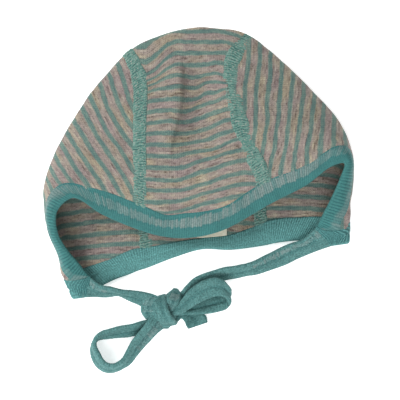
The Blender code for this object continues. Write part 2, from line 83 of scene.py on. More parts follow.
# name, then the face edge, the fold and the neck edge, each in x, y and z as shares of
# WIDTH, DEPTH and LOFT
RIM_ROWS = (
    ("chin_l", -0.3419, -0.5015, 0.273, -0.3484, -0.5463, 0.262, -0.3548, -0.5924, 0.24),
    ("throat_l", -0.3581, -0.4746, 0.345, -0.3871, -0.5373, 0.273, -0.3742, -0.5969, 0.24),
    ("jaw_l", -0.3774, -0.4388, 0.436, -0.4226, -0.5104, 0.218, -0.3935, -0.5991, 0.145),
    ("cheek_l", -0.4113, -0.3806, 0.618, -0.4419, -0.403, 0.236, -0.3613, -0.5754, 0.055),
    ("side_l", -0.4403, -0.309, 0.764, -0.4726, -0.3, 0.273, -0.3065, -0.5418, 0.055),
    ("ear_l", -0.4419, -0.2104, 0.873, -0.4871, -0.1836, 0.291, -0.2613, -0.512, 0.055),
    ("corner_l", -0.3903, -0.1513, 0.909, -0.4823, -0.0493, 0.291, -0.2226, -0.493, 0.055),
    ("temple_l", -0.3, -0.2239, 0.764, -0.3903, 0.2104, 0.291, -0.1903, -0.4746, 0.055),
    ("seam_l", -0.1742, -0.2955, 0.582, -0.2161, 0.5104, 0.273, -0.1613, -0.462, 0.065),
    ("front_l", -0.1065, -0.3201, 0.527, -0.1097, 0.5843, 0.255, -0.071, -0.414, 0.109),
    ("front_mid", -0.0323, -0.3269, 0.509, 0, 0.6161, 0.255, 0.0194, -0.3775, 0.127),
    ("front_r", 0.0806, -0.2955, 0.564, 0.0871, 0.6112, 0.255, 0.1129, -0.3797, 0.109),
    ("seam_r", 0.2452, -0.1701, 0.636, 0.1645, 0.5843, 0.273, 0.222, -0.36, 0.065),
    ("temple_r", 0.3548, -0.0918, 0.691, 0.3484, 0.3672, 0.291, 0.2581, -0.3493, 0.055),
    ("brow_r", 0.429, -0.0134, 0.8, 0.4677, 0.1836, 0.309, 0.3065, -0.3403, 0.055),
    ("corner_r", 0.4726, 0.0022, 0.855, 0.503, 0.0403, 0.309, 0.3548, -0.3372, 0.055),
    ("ear_r", 0.4613, -0.0582, 0.818, 0.503, -0.0672, 0.291, 0.4032, -0.3381, 0.055),
    ("side_r", 0.4355, -0.1433, 0.691, 0.496, -0.1701, 0.273, 0.4516, -0.3448, 0.055),
    ("jaw_r", 0.4081, -0.2216, 0.491, 0.493, -0.2597, 0.218, 0.4903, -0.3515, 0.145),
    ("throat_r", 0.3984, -0.2507, 0.382, 0.4806, -0.3045, 0.262, 0.4597, -0.3582, 0.24),
    ("chin_r", 0.3871, -0.2821, 0.291, 0.4129, -0.3224, 0.269, 0.4355, -0.364, 0.24),
)
# name, how high the lower and the upper layer lie, how far the rib sways sideways low,
# midway and at the back, and how wide the face and neck bindings are, as shares of BINDING
PROFILE_ROWS = (
    ("chin_l", 0.251, 0.269, 0, 0, 0, 0, 0.87),
    ("throat_l", 0.24, 0.338, 0, 0, 0, 0.6, 0.87),
    ("jaw_l", 0.16, 0.429, 0, 0, 0, 0.74, 0.87),
    ("cheek_l", 0.029, 0.6, 0, 0, 0, 0.92, 0.93),
    ("side_l", 0.029, 0.745, 0, 0, 0, 0.93, 0.97),
    ("ear_l", 0.029, 0.873, 0, 0, 0, 0.78, 0.9),
    ("corner_l", 0.029, 0.909, 0, 0, 0, 0.76, 0.87),
    ("temple_l", 0.029, 0.916, 0, 0, 0, 1.12, 0.87),
    ("seam_l", 0.029, 0.931, 0.0097, 0.0194, 0.029, 1.08, 0.8),
    ("front_l", 0.029, 0.931, 0.0065, 0.0097, 0.0129, 0.95, 0.6),
    ("front_mid", 0.029, 0.931, 0, -0.0097, -0.0097, 1.05, 0.44),
    ("front_r", 0.029, 0.931, 0, -0.0194, -0.0323, 1, 0.6),
    ("seam_r", 0.029, 0.931, -0.022, -0.064, -0.069, 0.93, 0.9),
    ("temple_r", 0.029, 0.909, 0, -0.0129, -0.0065, 0.83, 1),
    ("brow_r", 0.029, 0.909, 0, 0, 0, 0.87, 1.03),
    ("corner_r", 0.029, 0.873, 0, 0, 0, 0.93, 1.07),
    ("ear_r", 0.029, 0.8, 0, 0, 0, 1, 1.03),
    ("side_r", 0.029, 0.676, 0, 0, 0, 1, 0.93),
    ("jaw_r", 0.16, 0.48, 0, 0, 0, 0.8, 0.87),
    ("throat_r", 0.24, 0.378, 0, 0, 0, 0.84, 0.87),
    ("chin_r", 0.251, 0.287, 0, 0, 0, 0, 0.87),
)
print(len(RIM_ROWS), "stations from chin to chin")

# %% [markdown]
# ### Smooth curves
# A curve through given points needs no handles when each slope comes from its
# neighbours.  The even kind spaces its slopes by distance, so it never loops back where
# two points are close.

# %% Curves
LAST = len(RIM_ROWS) - 1
NAMES = [row[0] for row in RIM_ROWS]
SEAM_LEFT, SEAM_RIGHT = NAMES.index("seam_l"), NAMES.index("seam_r")


def curve(points, at, even=True):
    """Catmull-Rom through points[0], points[1] and so on, at fractional places."""
    points = np.asarray(points, float)
    at = np.clip(np.atleast_1d(np.asarray(at, float)), 0, len(points) - 1)
    i = np.minimum(at.astype(int), len(points) - 2)
    t = (at - i).reshape(-1, *[1] * (points.ndim - 1))
    ends = np.concatenate([2 * points[:1] - points[1:2], points, 2 * points[-1:] - points[-2:-1]])
    p0, p1, p2, p3 = ends[i], ends[i + 1], ends[i + 2], ends[i + 3]
    m1, m2 = (p2 - p0) / 2, (p3 - p1) / 2
    if even:
        a, b, c = [np.sqrt(np.maximum(np.linalg.norm(q - p, axis=-1, keepdims=True), 1e-9))
                   for p, q in ((p0, p1), (p1, p2), (p2, p3))]
        m1 = (p2 - p1) + b * ((p1 - p0) / a - (p2 - p0) / (a + b))
        m2 = (p2 - p1) + b * ((p3 - p2) / c - (p3 - p1) / (b + c))
    return ((2 * t**3 - 3 * t**2 + 1) * p1 + (t**3 - 2 * t**2 + t) * m1
            + (3 * t**2 - 2 * t**3) * p2 + (t**3 - t**2) * m2)


def ease(x, low, high):
    """From 0 below low to 1 above high, without a kink."""
    x = np.clip((x - low) / (high - low), 0.0, 1.0)
    return x * x * (3 - 2 * x)


def unit(v):
    return v / np.maximum(np.linalg.norm(v, axis=-1, keepdims=True), 1e-12)


def travelled(line):
    """How far along a line each of its points lies."""
    return np.concatenate([[0.0], np.cumsum(np.linalg.norm(np.diff(line, axis=0), axis=1))])


print("halfway up an ease:", ease(0.5, 0, 1))

# %% [markdown]
# ### The crease and the sheet
# Laid flat, the crown has one soft crease a little left of its middle, steep on the right
# and shallow on the left.  Each rib then runs through eight stations and is sampled anew
# at even steps.

# %% The sheet
PER_RIB, PER_RUN = 50, 480  # samples between two ribs of the table, and along a rib
SPANS, PER_SPAN, TO_FOLD = 7, 40, 4  # spans between stations, their samples, and those up to the fold


def crease(x, y, along):
    """How far the crown sinks, as a share of CREASE."""
    centre = -0.050 - 0.030 * ease(0.30 - y, 0.0, 0.25)
    window = ease(y, -0.03, 0.20) * (1 - ease(y, 0.36, 0.54))
    off = (x - centre) * WIDTH / MM
    right, left = np.maximum(off, 0), np.minimum(off, 0)
    dent = 0.36 * (1 - np.exp(-right / 0.6)) + 1.2 * (1 - np.exp(-right / 7.0))
    dent = dent * (1 - ease(off, 11, 32)) - 0.20 * np.exp(-(left / 9) ** 2) * ease(-off, -1, 3)
    return window * dent * (1 - ease(along, 3.2, 3.9))[:, None]


def make_sheet():
    """Every rib as evenly spaced points, its length, how far along it folds, and its bindings."""
    places = np.linspace(0, LAST, PER_RIB * LAST + 1)
    rims = np.array([row[1:] for row in RIM_ROWS])
    face, fold, nape = [curve(rims[:, k:k + 3] * (WIDTH, DEPTH, LOFT), places) for k in (0, 3, 6)]
    table = np.array([row[1:] for row in PROFILE_ROWS])
    ground, crest, sway_low, sway_mid, sway_back, face_band, nape_band = [
        curve(table[:, k:k + 1], places, even=False) for k in range(7)]
    ground, crest = np.maximum(ground * LOFT, CLOTH / 2), crest * LOFT
    out = (fold - face)[:, :2]
    side = unit(np.stack([out[:, 1], -out[:, 0]], -1)) * WIDTH
    under = (nape - fold)[:, :2]
    reach = np.linalg.norm(under, axis=1, keepdims=True)
    under = under / reach
    turn = np.minimum(0.9 * fold[:, 2:], 0.35 * reach)
    lift = np.minimum(0.21 * DEPTH, 0.5 * (reach - turn))
    rise, drop = crest - face[:, 2:], crest - fold[:, 2:]
    stations = np.stack([
        face,
        np.hstack([face[:, :2] + 0.20 * out + sway_low * side, face[:, 2:] + 0.70 * rise]),
        np.hstack([face[:, :2] + 0.45 * out + sway_mid * side, crest]),
        np.hstack([face[:, :2] + 0.84 * out + sway_back * side, fold[:, 2:] + 0.45 * drop]),
        fold,
        np.hstack([fold[:, :2] + turn * under, ground]),
        np.hstack([nape[:, :2] - lift * under, ground]),
        nape,
    ])
    along = np.linspace(0, SPANS, SPANS * PER_SPAN + 1)
    lines = curve(stations, along)
    lines[..., 2] -= CREASE * crease(lines[..., 0] / WIDTH, lines[..., 1] / DEPTH, along)
    below = (along > TO_FOLD + 0.4)[:, None] & (lines[..., 2] < ground.T)
    lines[..., 2] = np.where(below, ground.T, lines[..., 2])
    run = np.stack([travelled(line) for line in lines.transpose(1, 0, 2)], axis=1)
    even = np.linspace(0, 1, PER_RUN + 1)
    sheet = np.array([[np.interp(even * r[-1], r, line[:, k]) for k in range(3)]
                      for r, line in zip(run.T, lines.transpose(1, 0, 2))]).transpose(0, 2, 1)
    return sheet, run[-1], run[TO_FOLD * PER_SPAN], face_band[:, 0] * BINDING, nape_band[:, 0] * BINDING


SHEET, LENGTH, FOLD, FACE_BAND, NAPE_BAND = make_sheet()
NORMAL = unit(np.cross(np.gradient(SHEET, axis=0), np.gradient(SHEET, axis=1)))
print("ribs", len(SHEET), "longest rib mm", round(1000 * LENGTH.max(), 1))

# %% [markdown]
# ### Reading the sheet
# A place on the sheet is a rib number and a run: metres along that rib from the face
# edge.  These helpers give the point there, the widths of the two bindings, and the
# cloth that shows between them, as shares from 0 at the face to 1 at the neck.

# %% Places on the sheet
PANEL_FROM, PANEL_TO = 1.30, LAST - 1.15  # the ribs where the striped cloth starts and stops
FACE_FROM = 0.50  # the face binding starts this many ribs in
GAP = 0.40 * MM  # left between neighbouring pieces


def at_rib(table, rib):
    return np.interp(rib, np.linspace(0, LAST, len(table)), table)


def on_sheet(rib, run, lift=0.0):
    """The point at a place on the sheet, raised square to it by lift."""
    rib, run, lift = np.broadcast_arrays(*[np.asarray(v, float) for v in (rib, run, lift)])
    a = np.clip(rib, 0, LAST) * PER_RIB
    b = np.clip(run / at_rib(LENGTH, rib), 0, 1) * PER_RUN
    i, j = np.minimum(a.astype(int), len(SHEET) - 2), np.minimum(b.astype(int), PER_RUN - 1)
    fa, fb = (a - i)[..., None], (b - j)[..., None]
    mix = lambda t: ((1 - fa) * ((1 - fb) * t[i, j] + fb * t[i, j + 1])
                     + fa * ((1 - fb) * t[i + 1, j] + fb * t[i + 1, j + 1]))
    return mix(SHEET) + lift[..., None] * unit(mix(NORMAL))


def nape_width(rib):
    whole = at_rib(LENGTH, rib)
    shows = ease(np.minimum(rib, LAST - rib), FACE_FROM - 0.22, FACE_FROM - 0.04)
    return whole + shows * (np.minimum(at_rib(NAPE_BAND, rib), whole) - whole)


def face_width(rib):
    fills = at_rib(LENGTH, rib) - nape_width(rib) - GAP
    start = np.where(np.asarray(rib) < LAST / 2, PANEL_FROM, LAST - PANEL_TO)
    shows = ease(np.minimum(rib, LAST - rib), start - 0.16, start - 0.02)
    return fills + shows * (np.minimum(at_rib(FACE_BAND, rib), fills) - fills)


def cloth_run(rib, share, tuck=0.0):
    """Run of a share of the visible cloth: 0.5 is always the fold."""
    start = face_width(rib) + GAP - tuck
    stop = at_rib(LENGTH, rib) - nape_width(rib) - GAP + tuck
    reach = stop - start
    fold = np.clip(at_rib(FOLD, rib), start + 0.2 * reach, stop - 0.2 * reach)
    return np.where(share < 0.5, start + 2 * share * (fold - start), fold + (2 * share - 1) * (stop - fold))


def beside(seam, share, offset):
    """The rib that lies offset metres beside a seam, measured square to it."""
    step = 0.02
    place = lambda rib, s: on_sheet(rib, cloth_run(rib, s))
    along = unit(place(seam, np.minimum(share + step, 1.0)) - place(seam, np.maximum(share - step, 0.0)))
    across = (place(seam + step, share) - place(seam - step, share)) / (2 * step)
    return seam + offset / np.linalg.norm(np.cross(across, along), axis=-1)


print("face edge round in mm:", round(1000 * travelled(SHEET[:, 0])[-1]))

# %% [markdown]
# ## Knit meshes
# Each soft piece is a closed skin: rings of points laid one after another, joined with
# four-sided faces and shut at both ends.  A sheet of cloth is such a skin too, pressed
# flat, with its outer side and its inner side in one ring.  Every point also keeps its
# place in the cloth: millimetres along the yarn, stripes or millimetres across it, and
# how high the stitch stands there.  The finishes read that place, so a pattern follows
# the cloth round every fold.  A single sheet with a Solidify modifier would be shorter,
# but its wall has one thickness, and knit is thin at an edge and thick on a rib.

# %% Skin through rings
FLOOR_GAP = 0.02 * MM  # no point lies lower


def wander(u, v, size, seed):
    """Smooth seeded unevenness between -1 and 1, with grains of the given size."""
    table = np.random.default_rng(seed).uniform(-1, 1, (64, 64))
    a, b = np.broadcast_arrays(np.asarray(u, float) / size, np.asarray(v, float) / size)
    i, j = np.floor(a).astype(int), np.floor(b).astype(int)
    fa, fb = ease(a - i, 0, 1), ease(b - j, 0, 1)
    g = lambda p, q: table[p % 64, q % 64]
    return ((1 - fa) * ((1 - fb) * g(i, j) + fb * g(i, j + 1))
            + fa * ((1 - fb) * g(i + 1, j) + fb * g(i + 1, j + 1)))


def both(outer, inner):
    """One ring round a sheet: out along its outer side and back along its inner side."""
    return np.concatenate([outer, inner[:, ::-1]], axis=1)


def skin(name, forms, finish, slot, *stands_for):
    """Closed skins in one mesh: for each, its rings, their places in the knit, and stitches."""
    points, faces, places, stitches, count = [], [], [], [], 0
    for rings, place, stitch in forms:
        rings = np.array(rings)
        rings[..., 2] = np.maximum(rings[..., 2], FLOOR_GAP)
        rows, around = rings.shape[:2]
        index = count + np.arange(rows * around).reshape(rows, around)
        after = np.roll(index, -1, axis=1)
        j = np.arange(around // 2 - 1)
        lids = [np.stack([index[k, j], index[k, j + 1], index[k, around - 2 - j], index[k, around - 1 - j]], -1)
                for k in (0, -1)]
        walls = np.stack([index[:-1], after[:-1], after[1:], index[1:]], -1).reshape(-1, 4)
        faces += [walls, lids[0][:, ::-1], lids[1]]
        points.append(rings.reshape(-1, 3))
        places.append(np.asarray(place, float).reshape(-1, 3))
        stitches.append(np.broadcast_to(stitch, rings.shape[:2]).reshape(-1))
        count += rows * around
    mesh = bpy.data.meshes.new(name)
    mesh.from_pydata(np.concatenate(points), [], np.concatenate(faces).tolist())
    cloth = mesh.attributes.new("cloth", "FLOAT_VECTOR", "POINT")
    cloth.data.foreach_set("vector", np.concatenate(places).ravel())
    mesh.attributes.new("stitch", "FLOAT", "POINT").data.foreach_set("value", np.concatenate(stitches))
    turned = bmesh.new()
    turned.from_mesh(mesh)
    bmesh.ops.recalc_face_normals(turned, faces=turned.faces)
    turned.to_mesh(mesh)
    turned.free()
    mesh.polygons.foreach_set("use_smooth", np.ones(len(mesh.polygons), bool))
    mesh.materials.append(finish)
    piece = bpy.data.objects.new(name, mesh)
    scene.collection.objects.link(piece)
    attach(piece, "root")
    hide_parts(*stands_for)
    print(name, 2 * len(mesh.polygons), "triangles")
    return piece


# %% [markdown]
# ## Finishes
# The yarn is wool with silk: matt fibres with a soft halo, so rough, with sheen and no
# clear gloss.  Fibre has an IOR near 1.55; at this roughness 1.5 looks the same.  A
# finish ends in a colour and in a height, which a bump turns into fine relief.

# %% Helpers for finishes
BLEND = {"data_type": "RGBA"}
TINT = {"data_type": "RGBA", "blend_type": "MULTIPLY"}
SMOOTH = {"interpolation_type": "SMOOTHSTEP"}
FINE = 0.22 * MM  # relief of single fibres and loops


def paint(hex_colour):
    """An sRGB hex colour as linear numbers."""
    channels = [int(hex_colour[k:k + 2], 16) / 255 for k in (0, 2, 4)]
    return tuple(c / 12.92 if c <= 0.04045 else ((c + 0.055) / 1.055) ** 2.4 for c in channels) + (1.0,)


def result(node):
    """The output that a node is used for: a mix's colour, and else the first."""
    return node.outputs[2 if node.bl_idname == "ShaderNodeMix" else 0]


def add(tree, kind, settings=(), *values, **sockets):
    """Adds a node: its settings or its operation, then its sockets, in order or by name."""
    made = tree.nodes.new("ShaderNode" + kind)
    if isinstance(settings, str):
        settings = {"operation": settings}
    for key, value in dict(settings).items():
        if key == "stops":
            while len(made.color_ramp.elements) < len(value):
                made.color_ramp.elements.new(1.0)
            for element, (at, hex_colour) in zip(made.color_ramp.elements, value):
                element.position, element.color = at, paint(hex_colour)
        else:
            setattr(made, key, value)
    in_order = zip((0, 6, 7) if kind == "Mix" else range(len(values)), values)
    for key, value in [*in_order, *sockets.items()]:
        socket = made.inputs[key]
        if isinstance(value, bpy.types.Node):
            value = result(value)
        if isinstance(value, bpy.types.NodeSocket):
            tree.links.new(value, socket)
        else:
            socket.default_value = value
    return made


def finish(name, roughness, sheen, sheen_colour):
    """A matt fibrous material, and where its points lie in the cloth."""
    made = bpy.data.materials.new(name)
    made.use_nodes = True
    shader = made.node_tree.nodes["Principled BSDF"]
    for socket, value in (("Roughness", roughness), ("IOR", 1.5), ("Specular IOR Level", 0.25),
                          ("Sheen Weight", sheen), ("Sheen Roughness", 0.5),
                          ("Sheen Tint", paint(sheen_colour))):
        shader.inputs[socket].default_value = value
    place = add(made.node_tree, "Attribute", {"attribute_name": "cloth"}).outputs["Vector"]
    return made, made.node_tree, place


def cover(made, colour, height, strength=0.5, depth=FINE):
    """Ends a finish: its colour, and its height as relief."""
    tree = made.node_tree
    shader = tree.nodes["Principled BSDF"]
    tree.links.new(result(colour), shader.inputs["Base Color"])
    raised = add(tree, "Bump", Strength=strength, Distance=depth, Height=height)
    tree.links.new(result(raised), shader.inputs["Normal"])
    return made


print("wool beige in linear numbers:", [round(c, 3) for c in paint("A39991")])

# %% [markdown]
# ## Striped jersey
# The panels are cut from one striped jersey: a teal stripe, then a wider heathered one in
# beige, pink and grey, again every 7 mm or so.  The stripes run across the crown and down
# the sides, and pull out of line where the cloth is stretched over a seam.  The charts
# hold where each stripe lies on the upper layer, in millimetres.

# %% Charts of the stripes
# stripe, then its y at each x of CROWN_AT
CROWN_AT = range(-30, 31, 6)
CROWN_STRIPES = (
    (-1, 82.4, 85.5, 87.3, 88, 87.8, 87.6, 87.5, 87, 85.7, 83.6, 81.4),
    (0, 71.3, 77.1, 80.4, 81.3, 80.8, 80.7, 80.9, 80.9, 79.6, 77.5, 75.1),
    (1, 61.7, 65.9, 70.8, 74.1, 74.1, 74, 74.2, 74.1, 73.6, 71.7, 69.3),
    (2, 53.5, 57.3, 62.8, 66.9, 67.1, 67, 67.2, 67.2, 67, 65, 62.9),
    (3, 49.5, 52.1, 56.3, 59.8, 60, 60, 60.3, 61.5, 60.2, 57.4, 56.7),
    (4, 46.2, 48.3, 51.7, 53, 52.7, 52.6, 54.4, 55.3, 53, 51.6, 51.5),
    (5, 42.2, 44.5, 45.4, 45.9, 45.9, 46.4, 49.2, 49.2, 48.1, 47.5, 47),
    (6, 36.3, 37.7, 38.3, 38.7, 38.9, 39.6, 42.6, 42.8, 44.7, 43.9, 42.7),
    (7, 30.3, 31.4, 31.6, 31.7, 31.8, 34.3, 36.1, 37.4, 40.1, 39.2, 37.7),
    (8, 23.8, 24.6, 25.3, 25.3, 25.4, 27, 28.6, 30.4, 32, 32.2, 32.1),
    (9, 17.3, 17.7, 17.7, 17.8, 18.2, 19.4, 21.3, 23.4, 25.5, 26.4, 26.4),
    (10, 11, 11.3, 11.3, 11.3, 11.8, 13, 14.2, 16.6, 18.5, 20.1, 20.8),
    (11, 4.6, 4.6, 4.5, 4.5, 6.2, 7.4, 8, 9.1, 11.9, 14.6, 15.3),
    (12, -2.2, -2.5, -2.8, -2.6, -1.5, 1.1, 3.1, 4.5, 6.1, 7.5, 8.7),
    (13, -8.9, -9.3, -9.5, -9.4, -8, -6.1, -3.9, -2.2, -0.4, 1.2, 2),
    (14, -15.6, -16, -15.9, -15.7, -14.9, -13, -11.5, -9.2, -7.3, -6, -4.9),
    (15, -22, -22.2, -22.1, -21.8, -20.8, -18.6, -16.8, -15.6, -14.2, -12.3, -11.5),
    (16, -28.4, -28.3, -28.1, -27.6, -26.6, -24.8, -22.9, -21.8, -20.5, -19.1, -18),
    (17, -34.6, -34.4, -34, -33.4, -32.4, -31, -29.4, -28.1, -26.9, -25.7, -24.6),
)
# stripe, then its x at each y of RIGHT_AT
RIGHT_AT = range(77, -5, -9)
RIGHT_STRIPES = (
    (-1, 31.5, 31.3, 30.6, 29.8, 29.2, 29, 28.3, 26.9, 25.3, 23.9),
    (0, 38.2, 38.2, 37.6, 36.8, 36, 35.9, 35.5, 33.9, 32.2, 30.6),
    (1, 44.9, 44.8, 44.6, 44.2, 43, 42.3, 42.1, 40.8, 38.9, 37.2),
    (2, 52, 52, 51.6, 51, 50.3, 49.3, 48, 47.2, 45.4, 43.8),
    (3, 59, 58.7, 58.3, 57.8, 56.8, 55.7, 54.8, 53.8, 52, 50.4),
    (4, 65.9, 65.4, 64.8, 64, 64, 62.9, 61.5, 60.2, 58.6, 57.8),
    (5, 72.8, 72.3, 71.7, 71.3, 70.8, 69.6, 68.8, 66.9, 66, 65.3),
    (6, 79.7, 79.2, 78.7, 78.2, 77.5, 76.4, 75.3, 74, 73.2, 72.7),
    (7, 86.7, 86.2, 85.6, 85.1, 84.3, 83.2, 82.2, 81.4, 80.7, 80),
    (8, 93.7, 93.1, 92.6, 91.9, 91.1, 90.2, 89.3, 88.6, 87.9, 87.1),
    (9, 100.7, 100.1, 99.5, 98.8, 98.1, 97.2, 96.4, 95.7, 94.9, 94.2),
)
# stripe, then its x at each y of LEFT_AT
LEFT_AT = range(62, -20, -9)
LEFT_STRIPES = (
    (-5, -125.7, -121.6, -117.6, -113.6, -109.4, -105, -100.2, -94.9, -88.4, -82.7),
    (-4, -118.1, -114.2, -110.3, -106.3, -102.3, -98, -93.2, -88.2, -82.2, -75.3),
    (-3, -110.6, -106.7, -102.8, -99.1, -95.2, -90.8, -85.7, -80.7, -74.2, -67.4),
    (-2, -102.9, -99, -95.3, -91.6, -88, -83.5, -77.9, -72.8, -65.7, -59.4),
    (-1, -95.1, -91.3, -87.5, -84, -80.8, -76, -70.3, -64.3, -57.5, -51.6),
    (0, -87.3, -83.4, -79.5, -75.7, -72.3, -67.2, -61.9, -55.5, -49.5, -43.7),
    (1, -79.4, -75.5, -71.6, -67.8, -64, -58.9, -53.5, -47, -41.1, -36),
    (2, -71.4, -67.5, -64.3, -60.2, -56.1, -51.3, -44.5, -38.7, -33.4, -28.2),
    (3, -63.5, -59.3, -55.6, -52.6, -48.2, -42.5, -35.8, -30.6, -25.6, -20.5),
    (4, -55.7, -51.9, -48.4, -45.2, -40.6, -34.3, -28.2, -23, -17.9, -12.8),
    (5, -47, -43.8, -41.6, -38.5, -32.3, -26.3, -20.7, -15.4, -10.2, -5.1),
    (6, -39.2, -36.5, -34.3, -30.6, -24.4, -18.5, -13, -7.7, -2.5, 2.6),
)

def stripe_at(chart, places, along, across):
    """The stripe, as a number with a fraction, that passes through a point."""
    place = (along / MM - places[0]) / (places[1] - places[0])
    rows = curve(np.array(chart)[:, 1:].T, np.clip(place, 0, len(places) - 1).ravel(), even=False)
    rows, across = rows.T, (across / MM).ravel()
    found = (across - rows[0]) / (rows[1] - rows[0])
    for k in range(1, len(rows) - 1):
        beyond = (across - rows[k]) / (rows[k + 1] - rows[k])
        found = np.where(beyond > 0, k + beyond, found)
    return (chart[0][0] + found).reshape(along.shape)


print("stripes charted:", len(CROWN_STRIPES) + len(RIGHT_STRIPES) + len(LEFT_STRIPES))

# %% [markdown]
# ### Where the yarn lies
# The upper layer follows the charts.  The lower layer is seen only inside the face
# opening, where a slope and a bend for each panel are enough.  Past the fold one turns
# into the other, so no stripe breaks at the outline.

# %% Places in the jersey
FADE = {"crown": 30 * MM, "right": 8 * MM, "left": 3 * MM}  # how far past the fold the change takes


def cloth_places(side, rib, run):
    """Where points of a panel lie in the knit: mm along the yarn, and the stripe."""
    fold = at_rib(FOLD, rib)
    here, turn = on_sheet(rib, run), on_sheet(rib, fold)

    def upper(p):
        x, y = p[..., 0], p[..., 1]
        if side == "crown":
            return x / MM, stripe_at(CROWN_STRIPES, CROWN_AT, x, y)
        if side == "right":
            return -y / MM, stripe_at(RIGHT_STRIPES, RIGHT_AT, y, x)
        return y / MM, stripe_at(LEFT_STRIPES, LEFT_AT, y, x)

    def lower(p):
        x, y = p[..., 0] / MM, p[..., 1] / MM
        if side == "crown":
            return x, (y + 0.05 * x) / 6.9 - 12.2
        if side == "right":
            rise = 0.0035 * np.minimum(x - 70, 0) ** 2 + 0.085 * (x - 70)
            return x, 11.36 - (y + rise) / 7.1
        rise = 0.0022 * (x + 90) ** 2 - 0.22 * (x + 90)
        return x, (y + rise) / 7.2 - 8.65

    (u1, v1), (u2, v2), (u0, v0), (w0, z0) = upper(here), lower(here), upper(turn), lower(turn)
    fade = np.exp(-np.maximum(run - fold, 0.0) / FADE[side])
    along = np.where(run > fold, u2 + (u0 - w0) * fade, u1)
    across = np.where(run > fold, v2 + (v0 - z0) * fade, v1)
    wavy = 0.07 * wander(along, 7 * across, 9.0, 71) + 0.035 * wander(along, 7 * across, 3.0, 72)
    return along, across + wavy


print("jersey fades over mm:", {side: round(1000 * far) for side, far in FADE.items()})

# %% [markdown]
# ### The surface of a panel
# Washed jersey isn't smooth.  It has broad swells, small dimples, puckers where a seam
# holds it back, and a roll beside the face binding.  A cloth simulation would find
# creases of its own, not these, and a bump would leave the outline smooth.  So they are
# moved in the mesh itself, and show in profile too.

# %% Panel
def panel(name, side, left, right, rows, columns, finish, *stands_for):
    """One panel between two ribs; left and right give them for a share of the way."""
    share = np.linspace(0, 1, rows)[:, None]
    across = np.linspace(0, 1, columns)[None, :]
    low, high = left(share[:, 0])[:, None], right(share[:, 0])[:, None]
    rib = low + across * (high - low)
    run = cloth_run(rib, share, tuck=2.5 * MM)
    middle = on_sheet(rib, run)
    step = np.linalg.norm(np.diff(middle, axis=1), axis=-1)
    from_left = np.concatenate([np.zeros((rows, 1)), np.cumsum(step, axis=1)], axis=1)
    from_right = from_left[:, -1:] - from_left
    from_face = run - face_width(rib)
    from_nape = at_rib(LENGTH, rib) - nape_width(rib) - run
    # swells and dimples, other ones on each layer
    layer = 300 * (run > at_rib(FOLD, rib))
    x, y = middle[..., 0] / MM + layer, middle[..., 1] / MM
    free = ease(from_face, 0, 8 * MM) * ease(from_nape, 0, 6 * MM)
    lift = 0.55 * wander(x, y, 21.0, 3) * free + 0.22 * wander(x, y, 8.0, 4) + 0.07 * wander(x, y, 3.0, 8)
    # puckers along the seams
    for edge, seed in ((from_left, 5), (from_right, 6)):
        near = np.exp(-edge / (6.5 * MM)) * ease(edge, 0.5 * MM, 3.5 * MM)
        lift += 0.60 * near * wander(run / MM, 0, 5.0, seed) * free
    # the roll beside the face binding, and a puff of it beside the left seam
    near = np.exp(-from_face / (7 * MM)) * ease(from_face, -1 * MM, 4 * MM)
    lift += 0.60 * near * (0.6 + wander(rib * 9, 0, 4.5, 7))
    puff = np.exp(-((rib - SEAM_LEFT - 0.95) / 0.55) ** 2 - ((from_face - 3.6 * MM) / (3.0 * MM)) ** 2)
    lift = MM * (lift + 2.6 * puff * ease(from_face, 0.2 * MM, 1.6 * MM))
    along, stripe = cloth_places(side, rib, run)
    place = np.stack([along, stripe, np.minimum(from_left, from_right) / MM], -1)
    rings = both(on_sheet(rib, run, lift + CLOTH / 2), on_sheet(rib, run, lift - CLOTH / 2))
    piece = skin(name, [(rings, both(place, place), 0.0)], finish, "striped_jersey", *stands_for)


# %% [markdown]
# ### The jersey itself
# Single jersey is knitted fine from one yarn after another.  The heather yarn is spun
# from fibre dyed before spinning, so each course changes from beige to pink to grey in
# short lengths; the teal yarn is dyed whole and changes less.  Loops stand in columns,
# and the eye sees them as tiny chevrons.  Real loops are under 1 mm, and are drawn about
# half as large again.  A tiled picture of knit would repeat itself; noise that is
# stretched along each course doesn't.

# %% Jersey finish
COURSES = 8.0  # rows of loops to a stripe, coarser than real ones
WALE = 0.6  # half of a column of loops, in mm
HEATHER = (
    (0.34, "685D56"), (0.41, "827770"), (0.47, "958B85"), (0.53, "A39991"), (0.59, "AEA599"), (0.67, "C0B8A9"))
TEAL = ((0.36, "506C6A"), (0.46, "5B7873"), (0.54, "678279"), (0.64, "7B9186"))
CAST = ((0.36, "EEE6EC"), (0.5, "F3F1EE"), (0.64, "FAF7E4"))


